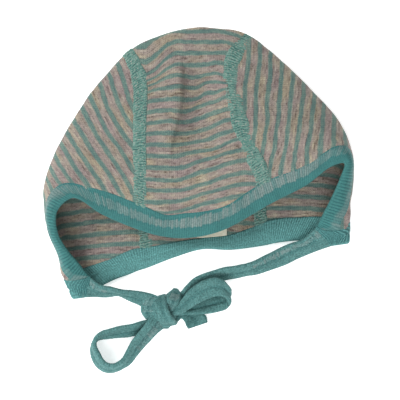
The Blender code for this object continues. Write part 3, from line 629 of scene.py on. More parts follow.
def jersey(name):
    """Wool and silk jersey: courses of mottled yarn, with the loops as small chevrons of painted light and
    shade.
    """
    made, tree, place = finish(name, 0.94, 0.15, "D8D2CC")
    parts = add(tree, "SeparateXYZ", {}, place)
    along, stripe = parts.outputs[0], parts.outputs[1]
    course = add(tree, "Math", "MULTIPLY", stripe, COURSES)
    row = add(tree, "Math", "FLOOR", course)

    def mottle(per_mm, per_row, detail, rows):
        where = add(tree, "CombineXYZ", {}, add(tree, "Math", "MULTIPLY", along, per_mm),
                    add(tree, "Math", "MULTIPLY", rows, per_row))
        return add(tree, "TexNoise", Vector=where, Scale=1.0, Detail=detail, Roughness=0.6)

    lengths, specks = mottle(0.13, 1.7, 3.0, row), mottle(0.85, 2.3, 2.0, row)
    clouds, edges = mottle(0.05, 0.7, 2.0, stripe), mottle(0.5, 5.0, 2.0, stripe)
    # the yarn's colour: long changes along a course, and short specks on them
    tone = add(tree, "Math", "MULTIPLY_ADD", lengths, 0.62, add(tree, "Math", "MULTIPLY", specks, 0.38))
    heather = add(tree, "Mix", TINT, 1.0, add(tree, "ValToRGB", {"stops": HEATHER}, tone),
                  add(tree, "ValToRGB", {"stops": CAST}, clouds))
    teal = add(tree, "ValToRGB", {"stops": TEAL}, tone)
    # the teal courses, with a furry edge
    shift = add(tree, "Math", "MULTIPLY_ADD", edges, 0.16, stripe)
    part = add(tree, "Math", "FRACT", add(tree, "Math", "ADD", shift, 0.42))
    away = add(tree, "Math", "ABSOLUTE", add(tree, "Math", "SUBTRACT", part, 0.5))
    band = add(tree, "MapRange", SMOOTH, away, 0.12, 0.275, 1.0, 0.0)
    colour = add(tree, "Mix", BLEND, band, heather, teal)
    # the loops: each course a row of small chevrons, painted light on the loops and painted shade in the
    # hollows between them
    wale = add(tree, "Math", "PINGPONG", along, WALE)
    slant = add(tree, "Math", "MULTIPLY_ADD", wale, 0.9, course)
    rows = add(tree, "Math", "SINE", add(tree, "Math", "MULTIPLY", slant, 2 * math.pi))
    loops = add(tree, "Math", "MULTIPLY_ADD", wale, 1.8, rows)
    loop_light_and_shade = add(tree, "MapRange", {}, loops, -1.0, 1.4, 0.76, 1.10)
    shaded = add(tree, "Mix", TINT, 1.0, colour, loop_light_and_shade)
    fuzz = add(tree, "Math", "MULTIPLY_ADD", specks, 2.5, loops)
    return cover(made, shaded, fuzz, strength=0.55)


heather = jersey("wool_silk_jersey")
print(heather.name, len(heather.node_tree.nodes), "nodes")

# %% [markdown]
# ### The three striped panels
# The crown runs from the face over the fold to the neck.  Each side panel wraps round
# the outline, from its seam to its chin.

# %% The three striped panels
EDGE = TAPE / 2 - 2.0 * MM  # the cloth reaches 2 mm under each tape
panel("crown_jersey", "crown", lambda s: beside(SEAM_LEFT, s, EDGE), lambda s: beside(SEAM_RIGHT, s, -EDGE),
      260, 90, heather, "crown_panel")
panel("left_jersey", "left", lambda s: PANEL_FROM - 0.1 + 0 * s, lambda s: beside(SEAM_LEFT, s, -EDGE),
      250, 110, heather, "side_panel_left")
panel("right_jersey", "right", lambda s: beside(SEAM_RIGHT, s, EDGE), lambda s: PANEL_TO + 0.1 + 0 * s,
      230, 120, heather, "side_panel_right")

# %% [markdown]
# ## Ribbed knit
# Bindings and ties are a rib knit of the same yarn, dyed teal.  Its columns stand up as
# crests with grooves between them, painted light on the crests and painted shade in the
# grooves, and the fibres show as fine streaks along each.
# Where a stitch goes through, the grey sewing thread lies on the crests.  The finish
# reads crest and stitch from the mesh, so colour and shape can't drift apart.  There are
# three copies: the neck binding's is painted lighter, against the shade it lies in under
# the forehead, and the face binding's and the ties' are darker.

# %% Ribbed finish
def ribbing(name, high, low, groove_shade_colour, thread, mottled):
    """Rib knit: painted light on the crests, painted shade in the grooves, and sewing thread where the stitches
    lie.
    """
    made, tree, place = finish(name, 0.92, 0.14, "BFD6D2")
    stitch = add(tree, "Attribute", {"attribute_name": "stitch"}).outputs["Fac"]
    crest = add(tree, "SeparateXYZ", {}, place).outputs[2]
    streaks = add(tree, "VectorMath", "MULTIPLY", place, (1.1, 14.0, 0.0))
    fibre = add(tree, "TexNoise", Vector=streaks, Scale=1.0, Detail=3.0, Roughness=0.65)
    broad = add(tree, "VectorMath", "MULTIPLY", place, (0.12, 2.0, 0.0))
    clouds = add(tree, "TexNoise", Vector=broad, Scale=1.0, Detail=2.0)
    # painted light on the crests and painted shade in the grooves
    knit = add(tree, "Mix", BLEND, crest, paint(low), paint(high))
    # a weak stitch only paints more shade into the groove beside it
    groove_shade = add(tree, "MapRange", {}, stitch, 0.0, 0.5)
    clear = add(tree, "MapRange", {}, stitch, 0.5, 0.62, 0.0, -0.7)
    groove_shade = add(tree, "Math", "ADD", clear, groove_shade)
    groove = add(tree, "MapRange", SMOOTH, crest, 0.1, 0.5, 0.8, 0.0)
    valley = add(tree, "Math", "MULTIPLY", groove_shade, groove)
    knit = add(tree, "Mix", BLEND, valley, knit, paint(groove_shade_colour))
    # a strong one shows as a pale tick on the crest
    pale = add(tree, "MapRange", {}, stitch, 0.5, 1.1)
    top = add(tree, "MapRange", SMOOTH, crest, 0.1, 0.7, 0.60, 0.86)
    tick = add(tree, "Math", "MULTIPLY", pale, top)
    worn = add(tree, "MapRange", {}, fibre, 0.36, 0.56, 0.65, 1.0)
    tick = add(tree, "Math", "MULTIPLY", tick, worn)
    shaded = add(tree, "Mix", BLEND, tick, knit, paint(thread))
    for noise, low_at, high_at, change in ((fibre, 0.32, 0.68, mottled), (clouds, 0.35, 0.65, 0.07)):
        soft = add(tree, "MapRange", {}, noise, low_at, high_at, 1 - change, 1 + change)
        shaded = add(tree, "Mix", TINT, 1.0, shaded, soft)
    return cover(made, shaded, fibre)


face_rib = ribbing("face_ribbing", "3E7573", "346969", "295758", "828C89", 0.20)
# the neck binding's copy is painted lighter, against the shade under the forehead
nape_rib_painted_lighter = ribbing("nape_ribbing_painted_lighter", "5D918F", "4D8180", "2B5B5C", "8B928F", 0.42)
tie_rib = ribbing("tie_ribbing", "588381", "436F6E", "2A5758", "8D918F", 0.45)
print("ribbings:", [made.name for made in (face_rib, nape_rib_painted_lighter, tie_rib)])

# %% [markdown]
# ### Ribs and stitches
# Ribs at 1.35 mm are modelled as real ridges: a little coarser than the real ones, which
# this picture couldn't show.  Their spacing wanders, as it does in knit.  The stitches
# that hold a binding down catch each rib for an uneven length.

# %% Ribs and stitches
RIB = 1.35  # mm from rib to rib


def ribs_of(length, seed):
    """Height of the ribs, 0 in a groove and 1 on a crest, and each rib's number."""
    phase = length / RIB + 0.25 * wander(length, 0, 9.0, seed)
    return (0.5 + 0.5 * np.cos(2 * math.pi * phase)) ** 0.8, np.round(phase).astype(int)


def round_edge(share, width, first, last):
    """Half thickness of a folded strip across its width, rounded off at both edges."""
    near = np.clip(share * width / first, 0.03, 1)
    far = np.clip((1 - share) * width / last, 0.05, 1)
    return np.sqrt(near * (2 - near)) * np.sqrt(far * (2 - far))


def crowded(count, pull):
    """Shares from 0 to 1 that lie closer together towards both edges."""
    even = np.linspace(0, 1, count)
    return (pull * (0.5 - 0.5 * np.cos(math.pi * even)) + (1 - pull) * even)[None, :]


def sewn(number, share, first, last, seed):
    """A stitch on each rib, of uneven length and strength, between two shares of the width."""
    chance = np.random.default_rng(seed).uniform(0, 1, (1500, 3))[number % 1500]
    begin, end = first + 0.09 * chance[..., 0], last - 0.10 * chance[..., 1]
    inside = ease(share, begin - 0.05, begin + 0.05) * (1 - ease(share, end - 0.05, end + 0.05))
    return inside * (0.66 + 0.34 * chance[..., 2])


print("ribs in 10 mm:", round(10 / RIB, 1))

# %% [markdown]
# ### The bindings
# A binding is a knitted strip folded over the raw edge of the cloth and stitched down,
# with a faint dent along the stitching.  The one round the face is narrow at the cheeks,
# where its outer half turns away and its stitches spread over the whole width.  The one
# along the neck lies flat on the floor, and its lower edge is lifted by its own wall.  A
# swept curve could make them too, but a strip cut from the sheet follows the cloth's own
# edge, and its width can change on the way.

# %% Bindings
def binding(name, at_face, first_rib, last_rib, stitches, fold, finish, node):
    """stitches: from and to which share of the width they lie at each station, and how strong."""
    band = face_width if at_face else nape_width
    begins = lambda rib, width: 0 * rib if at_face else at_rib(LENGTH, rib) - width
    ribs = np.linspace(first_rib, last_rib, 6000)
    travel = travelled(on_sheet(ribs, begins(ribs, band(ribs)) + band(ribs) / 2))
    stops = np.linspace(0, travel[-1], int(travel[-1] / (0.24 * MM)) + 1)
    rib = np.interp(stops, travel, ribs)[:, None]
    width = band(rib) + 0.5 * MM
    across = crowded(21, 0.4)
    share = across if at_face else 1 - across        # 0 at the rim, 1 at the cloth
    run = begins(rib, width) + across * width
    length = stops[:, None] / MM + 0 * across
    from_end = np.minimum(length, length[-1:] - length)
    # ribs lie further apart at the cheeks, and are flatter on the half that turns away
    cheeks = 1 - ease(rib, 5.0, 6.5) + ease(rib, 14.5, 16.0) if at_face else 0 * rib
    crest, number = ribs_of(np.cumsum(np.gradient(length, axis=0) / (1 + 0.40 * cheeks), axis=0), 11)
    outer_half = cheeks * ease(share, 0.42, 0.62)
    low, high, strong = [np.interp(rib, np.arange(len(stitches)), column) for column in zip(*stitches)]
    stitch = sewn(number, share, low, high, 13) * strong * (1 + 0.7 * outer_half)
    relief = (0.13 if at_face else 0.06) + 0.24 * np.minimum(stitch, 0.6)
    # the wall: a strip folded double, thinner over the cloth, with its ribs and its dent
    wall = BINDING_WALL / 2 - 0.35 * MM * ease(share, 0.55, 1.0)
    wall = round_edge(share, width, 1.6 * MM, 1.0 * MM) * wall
    if not at_face:
        wall = wall * (0.94 + 0.06 * ease(from_end, 0, 7))
    wall = wall + relief * (1 - 0.7 * outer_half) * MM * (crest - 0.6)
    dent = 0.22 if at_face else 0.15 + 0.75 * (1 - ease(rib, 7.5, 9.5))
    wall = wall - dent * MM * np.exp(-((share - fold) / 0.045) ** 2)
    wave = 0.25 * wander(length, 4 * across, 13.0, 12) * ease(from_end, 0, 7)
    wave = MM * (wave + (0.05 if at_face else 0.13) * wander(length, 13 * share, 1.1, 14))
    outer, inner = on_sheet(rib, run, wave + wall), on_sheet(rib, run, wave - wall)
    if not at_face:
        raised = np.maximum(BINDING_WALL / 2 - on_sheet(rib, run)[..., 2], 0)
        outer[..., 2] += raised
        inner[..., 2] += raised
    corner = 0 if at_face else 0.5 * (1 - ease(from_end, 8, 26))     # dimmer at both chins
    place = np.stack([length, share + 0 * length, crest - corner], -1)
    form = both(outer, inner), both(place, place), both(stitch, stitch)
    skin(name, [form], finish, "ribbed_binding", node)


# from, to, strength, at each station
CHEEK, LEFT, RIGHT = (0.12, 1.00, 0.5), (0.05, 1.05, 0.5), (0.06, 1.00, 0.52)
FACE_STITCHES = (CHEEK,) * 4 + (
    (0.12, 1.00, 0.52), (0.15, 1.00, 0.6), (0.25, 0.98, 0.8), (0.30, 0.84, 0.9), (0.32, 0.76, 1.0),
    (0.36, 0.80, 1.15), (0.38, 0.86, 1.2), (0.40, 0.94, 1.2), (0.43, 1.02, 1.2), (0.46, 1.02, 1.1),
    (0.48, 1.00, 0.9), (0.30, 0.98, 0.7), (0.08, 1.00, 0.52)) + (RIGHT,) * 3 + ((0.20, 1.00, 0.5),)
# on the neck binding no stitch is strong enough to show thread: its stitches raise the ribs and paint shade
# into the grooves, less in the middle
NAPE_STITCHES = (LEFT,) * 2 + ((0.58, 1.0, 0.3),) * 11 + (LEFT,) * 8
binding("face_edge", True, FACE_FROM - 0.1, LAST - FACE_FROM + 0.1,
        FACE_STITCHES, 0.36, face_rib, "face_binding")
binding("nape_edge", False, 0.0, float(LAST), NAPE_STITCHES, 0.47, nape_rib_painted_lighter, "nape_binding")

# %% [markdown]
# ## Seam tapes
# A narrow knit tape covers each long seam outside and inside, with its purl side out.
# Its stitches lie as short bumps in staggered rows 1.5 mm apart, coarser than real ones
# so that they show, with flecks of the heather yarn between them.

# %% Tape finish
def taping(name, low, middle, high, fleck):
    """Purl side of a narrow knit: painted shade in the gaps, painted light on the teal bumps, and flecks of the
    heather behind.
    """
    made, tree, place = finish(name, 0.94, 0.14, "C8DCD6")
    bump = add(tree, "SeparateXYZ", {}, place).outputs[2]
    fine = add(tree, "VectorMath", "MULTIPLY", place, (1.1, 1.1, 0.0))
    grain = add(tree, "TexNoise", Vector=fine, Scale=1.0, Detail=3.0, Roughness=0.65)
    # darker in the gaps and lighter on the bumps, as painted shade and light, with random unevenness
    knit = add(tree, "ValToRGB", {"stops": ((0.05, low), (0.45, middle), (0.95, high))}, bump)
    spots = add(tree, "MapRange", SMOOTH, grain, 0.52, 0.66, 0.0, 0.7)
    knit = add(tree, "Mix", BLEND, spots, knit, paint(fleck))
    soft = add(tree, "MapRange", {}, grain, 0.3, 0.7, 0.8, 1.15)
    return cover(made, add(tree, "Mix", TINT, 1.0, knit, soft), grain)


tape_knit = taping("purl_tape", "39605F", "527D74", "6B8F85", "9D958F")
print(tape_knit.name, len(tape_knit.node_tree.nodes), "nodes")

# %% [markdown]
# ### The tapes
# Each tape follows its seam from the face over the fold to the neck.  Its edges waver,
# and it bulges where it is pulled, on the side that faces the crown.  It could be
# painted on the panels, but the real one stands proud of them and hides the seam.

# %% Tapes
PURL = 1.5  # mm from row to row


def tape(name, seam, seed, node, bulge_side, bulge):
    """bulge: how much wider the tape is on one side, for a share of the way."""
    share = np.linspace(0, 1, 900)[:, None]
    across = np.linspace(-1, 1, 25)[None, :]
    middle = on_sheet(seam + 0 * share, cloth_run(seam + 0 * share, share))[:, 0]
    length = travelled(middle)[:, None] / MM
    waver = 0.10 * wander(length[:, 0], 0, 6.0, seed) + 0.07 * wander(length[:, 0], 0, 1.7, seed + 6)
    half, extra = TAPE / 2 * (1.10 + waver), bulge(share[:, 0])
    rib = np.stack([beside(seam, share[:, 0], side * half * (1 + extra * (side * bulge_side > 0)))
                    for side in across[0]], axis=1)
    run = cloth_run(rib, share, tuck=1.5 * MM)
    # rows of purl wave across the tape and break into short bumps
    line = length / PURL + 0.42 * wander(length, 3.4 * across, 1.9, seed + 1) + 0.12 * across ** 2
    bump = np.abs(np.sin(math.pi * line)) ** 0.7
    broken = ease(wander(7.3 * np.floor(line), 3.8 * across, 1.5, seed + 2), -0.5, 0.5)
    plain = ease(wander(length, 0 * across, 9.0, seed + 3), 0.6, 0.95)
    height = 0.85 - (1 - bump) * (0.35 + 0.85 * broken) - 0.34 * wander(length, 3.8 * across, 0.8, seed + 5)
    height = np.clip(height, 0, 1) * (1 - plain) + plain * 0.5
    edge = np.sqrt(np.clip(1 - np.abs(across) ** 6, 0.02, 1))
    wall = (CLOTH / 2 + 0.15 * MM + 0.55 * MM * (height - 0.35)) * edge
    wave = 0.25 * MM * wander(length, across, 7.0, seed + 4)
    place = np.stack([length + 0 * across, 3.8 * across + 0 * length, height], -1)
    rings = both(on_sheet(rib, run, wave + wall), on_sheet(rib, run, wave - wall))
    skin(name, [(rings, both(place, place), 0.0)], tape_knit, "seam_tape", node)


tape("left_tape", SEAM_LEFT, 20, "seam_tape_left", 1, lambda s: 0.5 * np.exp(-((s - 0.38) / 0.07) ** 2))
tape("right_tape", SEAM_RIGHT, 60, "seam_tape_right", -1, lambda s: 0.35 * ease(0.5 - s, 0.0, 0.08))

# %% [markdown]
# ## Nape label
# A bare cream tape is sewn in at the nape, and its far edge shows under the forehead.  It
# is a plain woven ribbon: smoother than knit, with fine threads along it, drawn coarser
# than real ones so that they show.  A flat plane would cut through the curved cloth, so
# the label is laid on the sheet as well.

# %% Nape label
LABEL_WIDE, LABEL_HIGH = 27 * MM, 12.6 * MM


def ribbon(name):
    """Cream woven tape with fine uneven threads."""
    made, tree, place = finish(name, 0.75, 0.1, "FFFFFF")
    threads = add(tree, "VectorMath", "MULTIPLY", place, (0.5, 2.4, 0.0))
    weft = add(tree, "TexNoise", Vector=threads, Scale=1.0, Detail=2.0)
    cream = add(tree, "ValToRGB", {"stops": ((0.36, "C9C6B1"), (0.5, "D2D0BC"), (0.64, "DAD8C6"))}, weft)
    return cover(made, cream, weft, strength=0.4, depth=0.12 * MM)


def label(name):
    """A flat tape just above the nape's lower layer, between two distances from the binding."""
    start = -0.045 * WIDTH
    x = np.linspace(start, start + LABEL_WIDE, 70)[None, :]
    lower = (2.8 - 2.4 * ease(x, start, start + 14 * MM)) * MM
    down = lower + np.linspace(0, 1, 34)[:, None] * (LABEL_HIGH - lower)
    ribs = np.linspace(SEAM_LEFT + 0.4, SEAM_RIGHT - 0.2, 300)
    rows = []
    for gap in down.mean(axis=1):
        line = on_sheet(ribs, at_rib(LENGTH, ribs) - nape_width(ribs) - gap)
        rows.append(np.interp(x[0], line[:, 0], ribs))
    rib = np.array(rows)
    middle = on_sheet(rib, at_rib(LENGTH, rib) - nape_width(rib) - down)
    lift = CLOTH / 2 + 0.7 * MM + 0.5 * MM * wander(x / MM, down / MM, 8.0, 31)
    top, under = middle.copy(), middle.copy()
    top[..., 2] += lift + 0.3 * MM
    under[..., 2] += lift - 0.3 * MM
    place = np.stack([x / MM + 0 * down, down / MM, 1 + 0 * down], -1)
    form = both(top, under), both(place, place), 0.0
    skin(name, [form], ribbon("cream_tape"), "label_tape", "nape_label")


label("nape_tape")

# %% [markdown]
# ## Ties and bow
# The neck binding runs on past both chins as two straps, each folded along its middle.
# They meet in a knot with two loops and one short end.  Each row holds the two edges of
# a strap, as shares of WIDTH, DEPTH and LOFT.  The knot's rows hold y, x, half its width,
# z and half its height.

# %% Stations of the straps
TIE_LEFT_ROWS = (
    (-0.3065, -0.5373, 0.382, -0.3071, -0.5893, 0.091),
    (-0.2774, -0.549, 0.411, -0.279, -0.5866, 0.065),
    (-0.2516, -0.5597, 0.422, -0.2542, -0.5812, 0.055),
    (-0.2258, -0.5624, 0.385, -0.2323, -0.5955, 0.051),
    (-0.2, -0.5633, 0.335, -0.2129, -0.6099, 0.051),
    (-0.171, -0.5696, 0.298, -0.1855, -0.6269, 0.058),
    (-0.1452, -0.5776, 0.284, -0.1597, -0.6466, 0.095),
    (-0.1161, -0.5928, 0.305, -0.1355, -0.6627, 0.153),
    (-0.0903, -0.609, 0.327, -0.1065, -0.6649, 0.204),
)
TIE_RIGHT_ROWS = (
    (0.3419, -0.3331, 0.24, 0.3903, -0.3851, 0.167),
    (0.3032, -0.3519, 0.211, 0.3355, -0.4164, 0.109),
    (0.271, -0.3714, 0.189, 0.2935, -0.4448, 0.073),
    (0.229, -0.4009, 0.251, 0.2435, -0.469, 0.051),
    (0.1806, -0.4359, 0.313, 0.1919, -0.4896, 0.051),
    (0.129, -0.4512, 0.32, 0.1355, -0.504, 0.051),
    (0.0774, -0.4648, 0.313, 0.0839, -0.5194, 0.051),
    (0.0323, -0.4836, 0.298, 0.0452, -0.5382, 0.051),
    (-0.0032, -0.5051, 0.276, 0.0194, -0.5561, 0.058),
    (-0.0306, -0.5373, 0.269, -0.0065, -0.5866, 0.087),
    (-0.0516, -0.5731, 0.247, -0.0306, -0.6161, 0.087),
    (-0.0839, -0.6179, 0.233, -0.0677, -0.6475, 0.124),
)
LOOP_LEFT_ROWS = (
    (-0.1161, -0.6313, 0.305, -0.0839, -0.694, 0.204),
    (-0.1419, -0.6654, 0.349, -0.1032, -0.7281, 0.196),
    (-0.1594, -0.7066, 0.4, -0.1252, -0.7522, 0.175),
    (-0.1839, -0.7478, 0.349, -0.151, -0.7916, 0.116),
    (-0.2045, -0.7818, 0.32, -0.1723, -0.8216, 0.065),
    (-0.2194, -0.8225, 0.349, -0.1942, -0.8552, 0.051),
    (-0.2316, -0.8633, 0.393, -0.218, -0.8917, 0.051),
    (-0.2484, -0.8848, 0.415, -0.2419, -0.9132, 0.051),
    (-0.2677, -0.8946, 0.415, -0.2697, -0.9266, 0.051),
    (-0.2832, -0.8893, 0.393, -0.2968, -0.9266, 0.051),
    (-0.2994, -0.8704, 0.378, -0.318, -0.9105, 0.051),
    (-0.3129, -0.8418, 0.393, -0.3329, -0.8773, 0.051),
    (-0.3226, -0.8122, 0.415, -0.3393, -0.8344, 0.051),
    (-0.3265, -0.789, 0.429, -0.329, -0.7943, 0.051),
    (-0.3213, -0.7666, 0.422, -0.3148, -0.7818, 0.051),
    (-0.3045, -0.7496, 0.4, -0.2961, -0.7782, 0.051),
    (-0.2781, -0.7379, 0.371, -0.2742, -0.7764, 0.051),
    (-0.249, -0.7254, 0.342, -0.2452, -0.7737, 0.051),
    (-0.22, -0.7173, 0.32, -0.2142, -0.7693, 0.051),
    (-0.1897, -0.7048, 0.269, -0.1774, -0.7639, 0.051),
    (-0.1613, -0.694, 0.196, -0.1439, -0.7522, 0.055),
    (-0.1387, -0.6851, 0.167, -0.1161, -0.7325, 0.065),
    (-0.1161, -0.6582, 0.167, -0.0903, -0.703, 0.095),
)
LOOP_RIGHT_ROWS = (
    (-0.0903, -0.6269, 0.371, -0.0871, -0.6734, 0.305),
    (-0.0677, -0.6206, 0.373, -0.0645, -0.6716, 0.38),
    (-0.0484, -0.6018, 0.387, -0.0419, -0.6627, 0.38),
    (-0.0258, -0.5642, 0.395, -0.0194, -0.643, 0.38),
    (0.0016, -0.5328, 0.416, 0.0081, -0.6188, 0.387),
    (0.0323, -0.5122, 0.424, 0.0371, -0.6, 0.395),
    (0.0645, -0.5033, 0.416, 0.0645, -0.5875, 0.387),
    (0.0871, -0.5131, 0.38, 0.0884, -0.5901, 0.344),
    (0.1019, -0.5355, 0.335, 0.1032, -0.6099, 0.225),
    (0.1052, -0.5597, 0.126, 0.1071, -0.6313, 0.168),
    (0.0935, -0.5687, 0.101, 0.0981, -0.6466, 0.157),
    (0.0677, -0.5812, 0.09, 0.0735, -0.6582, 0.15),
    (0.0355, -0.5946, 0.083, 0.04, -0.6672, 0.146),
    (0, -0.6107, 0.09, 0.0045, -0.6699, 0.15),
    (-0.0323, -0.6251, 0.097, -0.029, -0.6716, 0.165),
    (-0.0645, -0.6331, 0.097, -0.0613, -0.6743, 0.179),
    (-0.0871, -0.634, 0.097, -0.0852, -0.6743, 0.186),
)
TAIL_ROWS = (
    (-0.0903, -0.702, 0.116, -0.071, -0.6313, 0.116),
    (-0.062, -0.706, 0.073, -0.0484, -0.647, 0.08),
    (-0.05, -0.689, 0.051, -0.0226, -0.6537, 0.055),
    (-0.037, -0.704, 0.047, 0.0097, -0.6582, 0.047),
    (-0.032, -0.722, 0.047, 0.0323, -0.6761, 0.047),
    (-0.025, -0.736, 0.047, 0.0381, -0.7066, 0.047),
)
KNOT_ROWS = (
    (-0.5619, -0.069, 0.0161, 0.233, 0.131),
    (-0.5799, -0.0748, 0.0277, 0.24, 0.182),
    (-0.6, -0.0819, 0.0368, 0.247, 0.215),
    (-0.6224, -0.0897, 0.0439, 0.251, 0.236),
    (-0.647, -0.0948, 0.0471, 0.255, 0.247),
    (-0.6716, -0.0981, 0.0452, 0.247, 0.236),
    (-0.6963, -0.1, 0.0374, 0.225, 0.211),
    (-0.7187, -0.1013, 0.0265, 0.189, 0.167),
    (-0.7343, -0.1013, 0.0148, 0.153, 0.109),
)
print("rows of the bow:", len(LOOP_LEFT_ROWS) + len(LOOP_RIGHT_ROWS) + len(TAIL_ROWS) + len(KNOT_ROWS))

# %% [markdown]
# ### A folded strap
# A strap could be a swept curve, but its width and twist change at every bend, so it is
# laid between two edges instead.  Folded double, it has round edges and a soft valley
# along its middle, which fades where the strap comes out of the binding.

# %% Straps
SHARES, MILLIMETRES = (WIDTH, DEPTH, LOFT), (MM, MM, MM)


def limb(table, root=None, grow=0.0, scale=SHARES, stitched=None, seed=41, dip=0.75 * MM):
    """Rings of one folded strap through rows of its two edges; root is where it starts."""
    a, b = [np.asarray(table)[:, k:k + 3] * np.array(scale) for k in (0, 3)]
    for edge in (a, b):
        edge[:, 2] = np.maximum(edge[:, 2], STRAP_WALL / 2 + 0.05 * MM)
    if root is not None:
        back = [edge + 3.0 * MM * unit(edge - near[0]) for edge, near in zip(root, (a, b))]
        a, b = np.vstack([back[0], root[0], a]), np.vstack([back[1], root[1], b])
    fine = np.linspace(0, len(a) - 1, 2000)
    travel = travelled(curve((a + b) / 2, fine))
    stops = np.linspace(0, travel[-1], int(travel[-1] / (0.26 * MM)) + 1)
    places = np.interp(stops, travel, fine)
    a, b = curve(a, places), curve(b, places)
    across = b - a
    out = unit(np.cross(across, unit(np.gradient((a + b) / 2, axis=0))))
    share = crowded(23, 0.5)
    length = stops[:, None] / MM + 0 * share
    crest, number = ribs_of(length, seed)
    width = np.linalg.norm(across, axis=1)[:, None]
    wall = round_edge(share, width, 1.5 * MM, 1.5 * MM) * (STRAP_WALL / 2 + 0.25 * MM + grow)
    if root is not None:
        wall = wall * (0.35 + 0.65 * ease(length, 0.3, 4.5))
    # the valley along the fold
    middle_line = 0.5 + 0.05 * wander(length, 0, 8.0, seed + 1)
    valley = np.exp(-((share - middle_line) * width / (0.9 * MM)) ** 2) * ease(width, 4 * MM, 6 * MM)
    valley = valley * (ease(length, 0, 2) if root is None else ease(length, 4, 14))
    wall = wall - dip * valley * (0.65 + 0.35 * wander(length, 0, 6.0, seed + 2))
    # faint ribs, fuzz, and a slow wave
    grain = wander(length, share * width / MM, 0.95, seed + 4)
    wall = wall + MM * (0.04 * (crest - 0.6) + 0.10 * grain)
    wave = 0.3 * MM * wander(length, share * 6, 6.0, seed + 3) * ease(length, 3, 10)
    stitch = 0 * length
    if stitched is not None:
        first, last, low, high = stitched
        reach = ease(length, first, first + 2) * (1 - ease(length, last - 2, last))
        stitch = 0.8 * sewn(number, share, low, high, seed + 5) * reach
    middle = a[:, None] + share[..., None] * across[:, None]
    outer, inner = [middle + (wave + half)[..., None] * out[:, None] for half in (wall, -wall)]
    # the finish's crest channel: lighter on the ribs and darker along the valley of the fold, as painted light
    # and shade, with random mottle from the grain
    place = np.stack([length, share + 0 * length, 0.2 * crest + 0.45 + 0.5 * grain - 0.6 * valley], -1)
    return both(outer, inner), both(place, place), both(stitch, stitch)


def strap(name, form, node):
    skin(name, [form], tie_rib, "ribbed_tie", node)


def chin(rib):
    """The two edges of the neck binding where it ends under a chin."""
    return on_sheet(rib, 0.0), on_sheet(rib, at_rib(LENGTH, rib))


# stitched: from and to how many mm along the strap, and from and to which share of its width
strap("left_tie", limb(TIE_LEFT_ROWS, chin(0.0), stitched=(0, 16, 0.05, 0.5), seed=41), "tie_left")
strap("right_tie", limb(TIE_RIGHT_ROWS, chin(LAST), stitched=(0, 52, 0.06, 0.46), seed=51), "tie_right")
strap("left_loop", limb(LOOP_LEFT_ROWS, stitched=(2, 30, 0.35, 0.95), seed=61), "bow_loop_left")
strap("right_loop", limb(LOOP_RIGHT_ROWS, seed=71), "bow_loop_right")
strap("free_end", limb(TAIL_ROWS, seed=81), "bow_tail")

# %% [markdown]
# ## The knot
# One strap winds once round the other, so the knot is made as it is tied: a core, a band
# wound over it, a lump where the left tie turns in, and a tongue that stands up behind.
# Pulled tight by a simulation it would come out differently each time.  Rows hold the
# two edges of each, in millimetres.

# %% Knot
WOUND = (
    (-23.0, -80.0, 4.9, -17.6, -78.4, 5.6),
    (-24.3, -83.2, 11.0, -17.2, -82.2, 12.8),
    (-23.6, -87.6, 13.6, -15.9, -87.6, 14.3),
    (-21.9, -92.4, 11.4, -13.5, -91.8, 11.7),
    (-19.0, -96.3, 3.2, -11.1, -94.6, 3.2),
)
TURNED_IN = (
    (-27.6, -77.4, 6.0, -20.4, -79.8, 9.0),
    (-32.1, -81.3, 5.0, -22.2, -82.8, 10.5),
    (-33.0, -87.3, 4.2, -22.2, -87.0, 11.0),
    (-29.7, -92.1, 4.2, -22.2, -89.7, 10.5),
    (-23.7, -94.5, 4.0, -19.8, -91.8, 9.0),
)
TONGUE = (
    (-17.4, -86.4, 10.0, -13.8, -87.6, 10.5),
    (-17.7, -80.4, 12.2, -10.8, -83.4, 11.5),
    (-16.5, -77.1, 9.5, -9.0, -79.2, 9.0),
    (-14.4, -75.0, 4.0, -10.2, -75.9, 4.5),
)
CORE = 0.80  # size of the core to the knot's


def core():
    """The rounded middle of the knot, as rings along y."""
    rows = np.asarray(KNOT_ROWS) * (DEPTH, WIDTH, WIDTH, LOFT, LOFT)
    rows = curve(rows, np.linspace(0, len(rows) - 1, 90), even=False)
    turn = np.linspace(0, 2 * math.pi, 97)[:-1][None, :]
    y, x, half_x, z, half_z = [rows[:, k:k + 1] for k in range(5)]
    crest = ribs_of(y / MM + 0 * turn, 51)[0]
    across, up = x + CORE * half_x * np.cos(turn), z - 0.8 * MM + CORE * half_z * np.sin(turn)
    ring = np.stack([across, y + 0 * turn, up], -1)
    return ring, np.stack([y / MM + 0 * turn, 0.5 + 0 * crest, crest], -1), 0.0


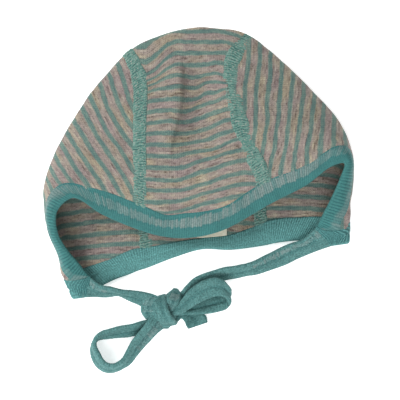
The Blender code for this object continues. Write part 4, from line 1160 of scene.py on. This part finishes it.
turns = [core()]
for rows, seed, stitched in (
        (WOUND, 91, None), (TURNED_IN, 101, (0, 12, 0.1, 0.8)), (TONGUE, 111, (0, 12, 0.1, 0.9))):
    turns.append(limb(rows, grow=0.2 * MM, scale=MILLIMETRES, seed=seed, stitched=stitched, dip=0.2 * MM))
skin("bow_centre", turns, tie_rib, "ribbed_tie", "bow_knot")

# %% [markdown]
# ## Floor and light
# A plain pale floor and two large soft lights, the stronger one from the upper left, as
# in a studio picture made for a white page.  The floor glows a little, as a lit paper
# sweep does, so that it stays white beside the cloth.  Lamps are used, not a picture of
# a studio, because they say plainly where the light comes from.

# %% Floor and lights
def floor():
    made = bpy.data.materials.new("pale_floor")
    made.use_nodes = True
    shader = made.node_tree.nodes["Principled BSDF"]
    for socket, value in (("Base Color", paint("FFFFFF")), ("Roughness", 0.9), ("Specular IOR Level", 0.1),
                          ("Emission Color", paint("FFFFFF")), ("Emission Strength", 0.55)):
        shader.inputs[socket].default_value = value
    mesh = bpy.data.meshes.new("floor")
    mesh.from_pydata([(-3, -3, 0), (3, -3, 0), (3, 3, 0), (-3, 3, 0)], [], [(0, 1, 2, 3)])
    mesh.materials.append(made)
    sheet = bpy.data.objects.new("floor", mesh)
    scene.collection.objects.link(sheet)


def light(name, place, size, power):
    """A round soft light, turned to the bonnet."""
    lamp = bpy.data.lights.new(name, "AREA")
    lamp.shape, lamp.size, lamp.energy = "DISK", size, power
    made = bpy.data.objects.new(name, lamp)
    made.location = place
    x, y, z = place
    made.rotation_euler = (math.atan2(math.hypot(x, y), z), 0.0, math.atan2(x, -y))
    scene.collection.objects.link(made)
    print(name, "light,", size, "m across,", power, "W")


floor()
light("window", (-1.1, 0.6, 1.05), 0.6, 13.3)
light("fill", (-0.3, -1.3, 1.1), 1.2, 20.0)
world = bpy.data.worlds.new("studio")
world.use_nodes = True
sky = world.node_tree.nodes["Background"]
sky.inputs["Color"].default_value = (1.0, 1.0, 1.0, 1.0)
sky.inputs["Strength"].default_value = 0.57
scene.world = world
scene.view_settings.view_transform = "Standard"
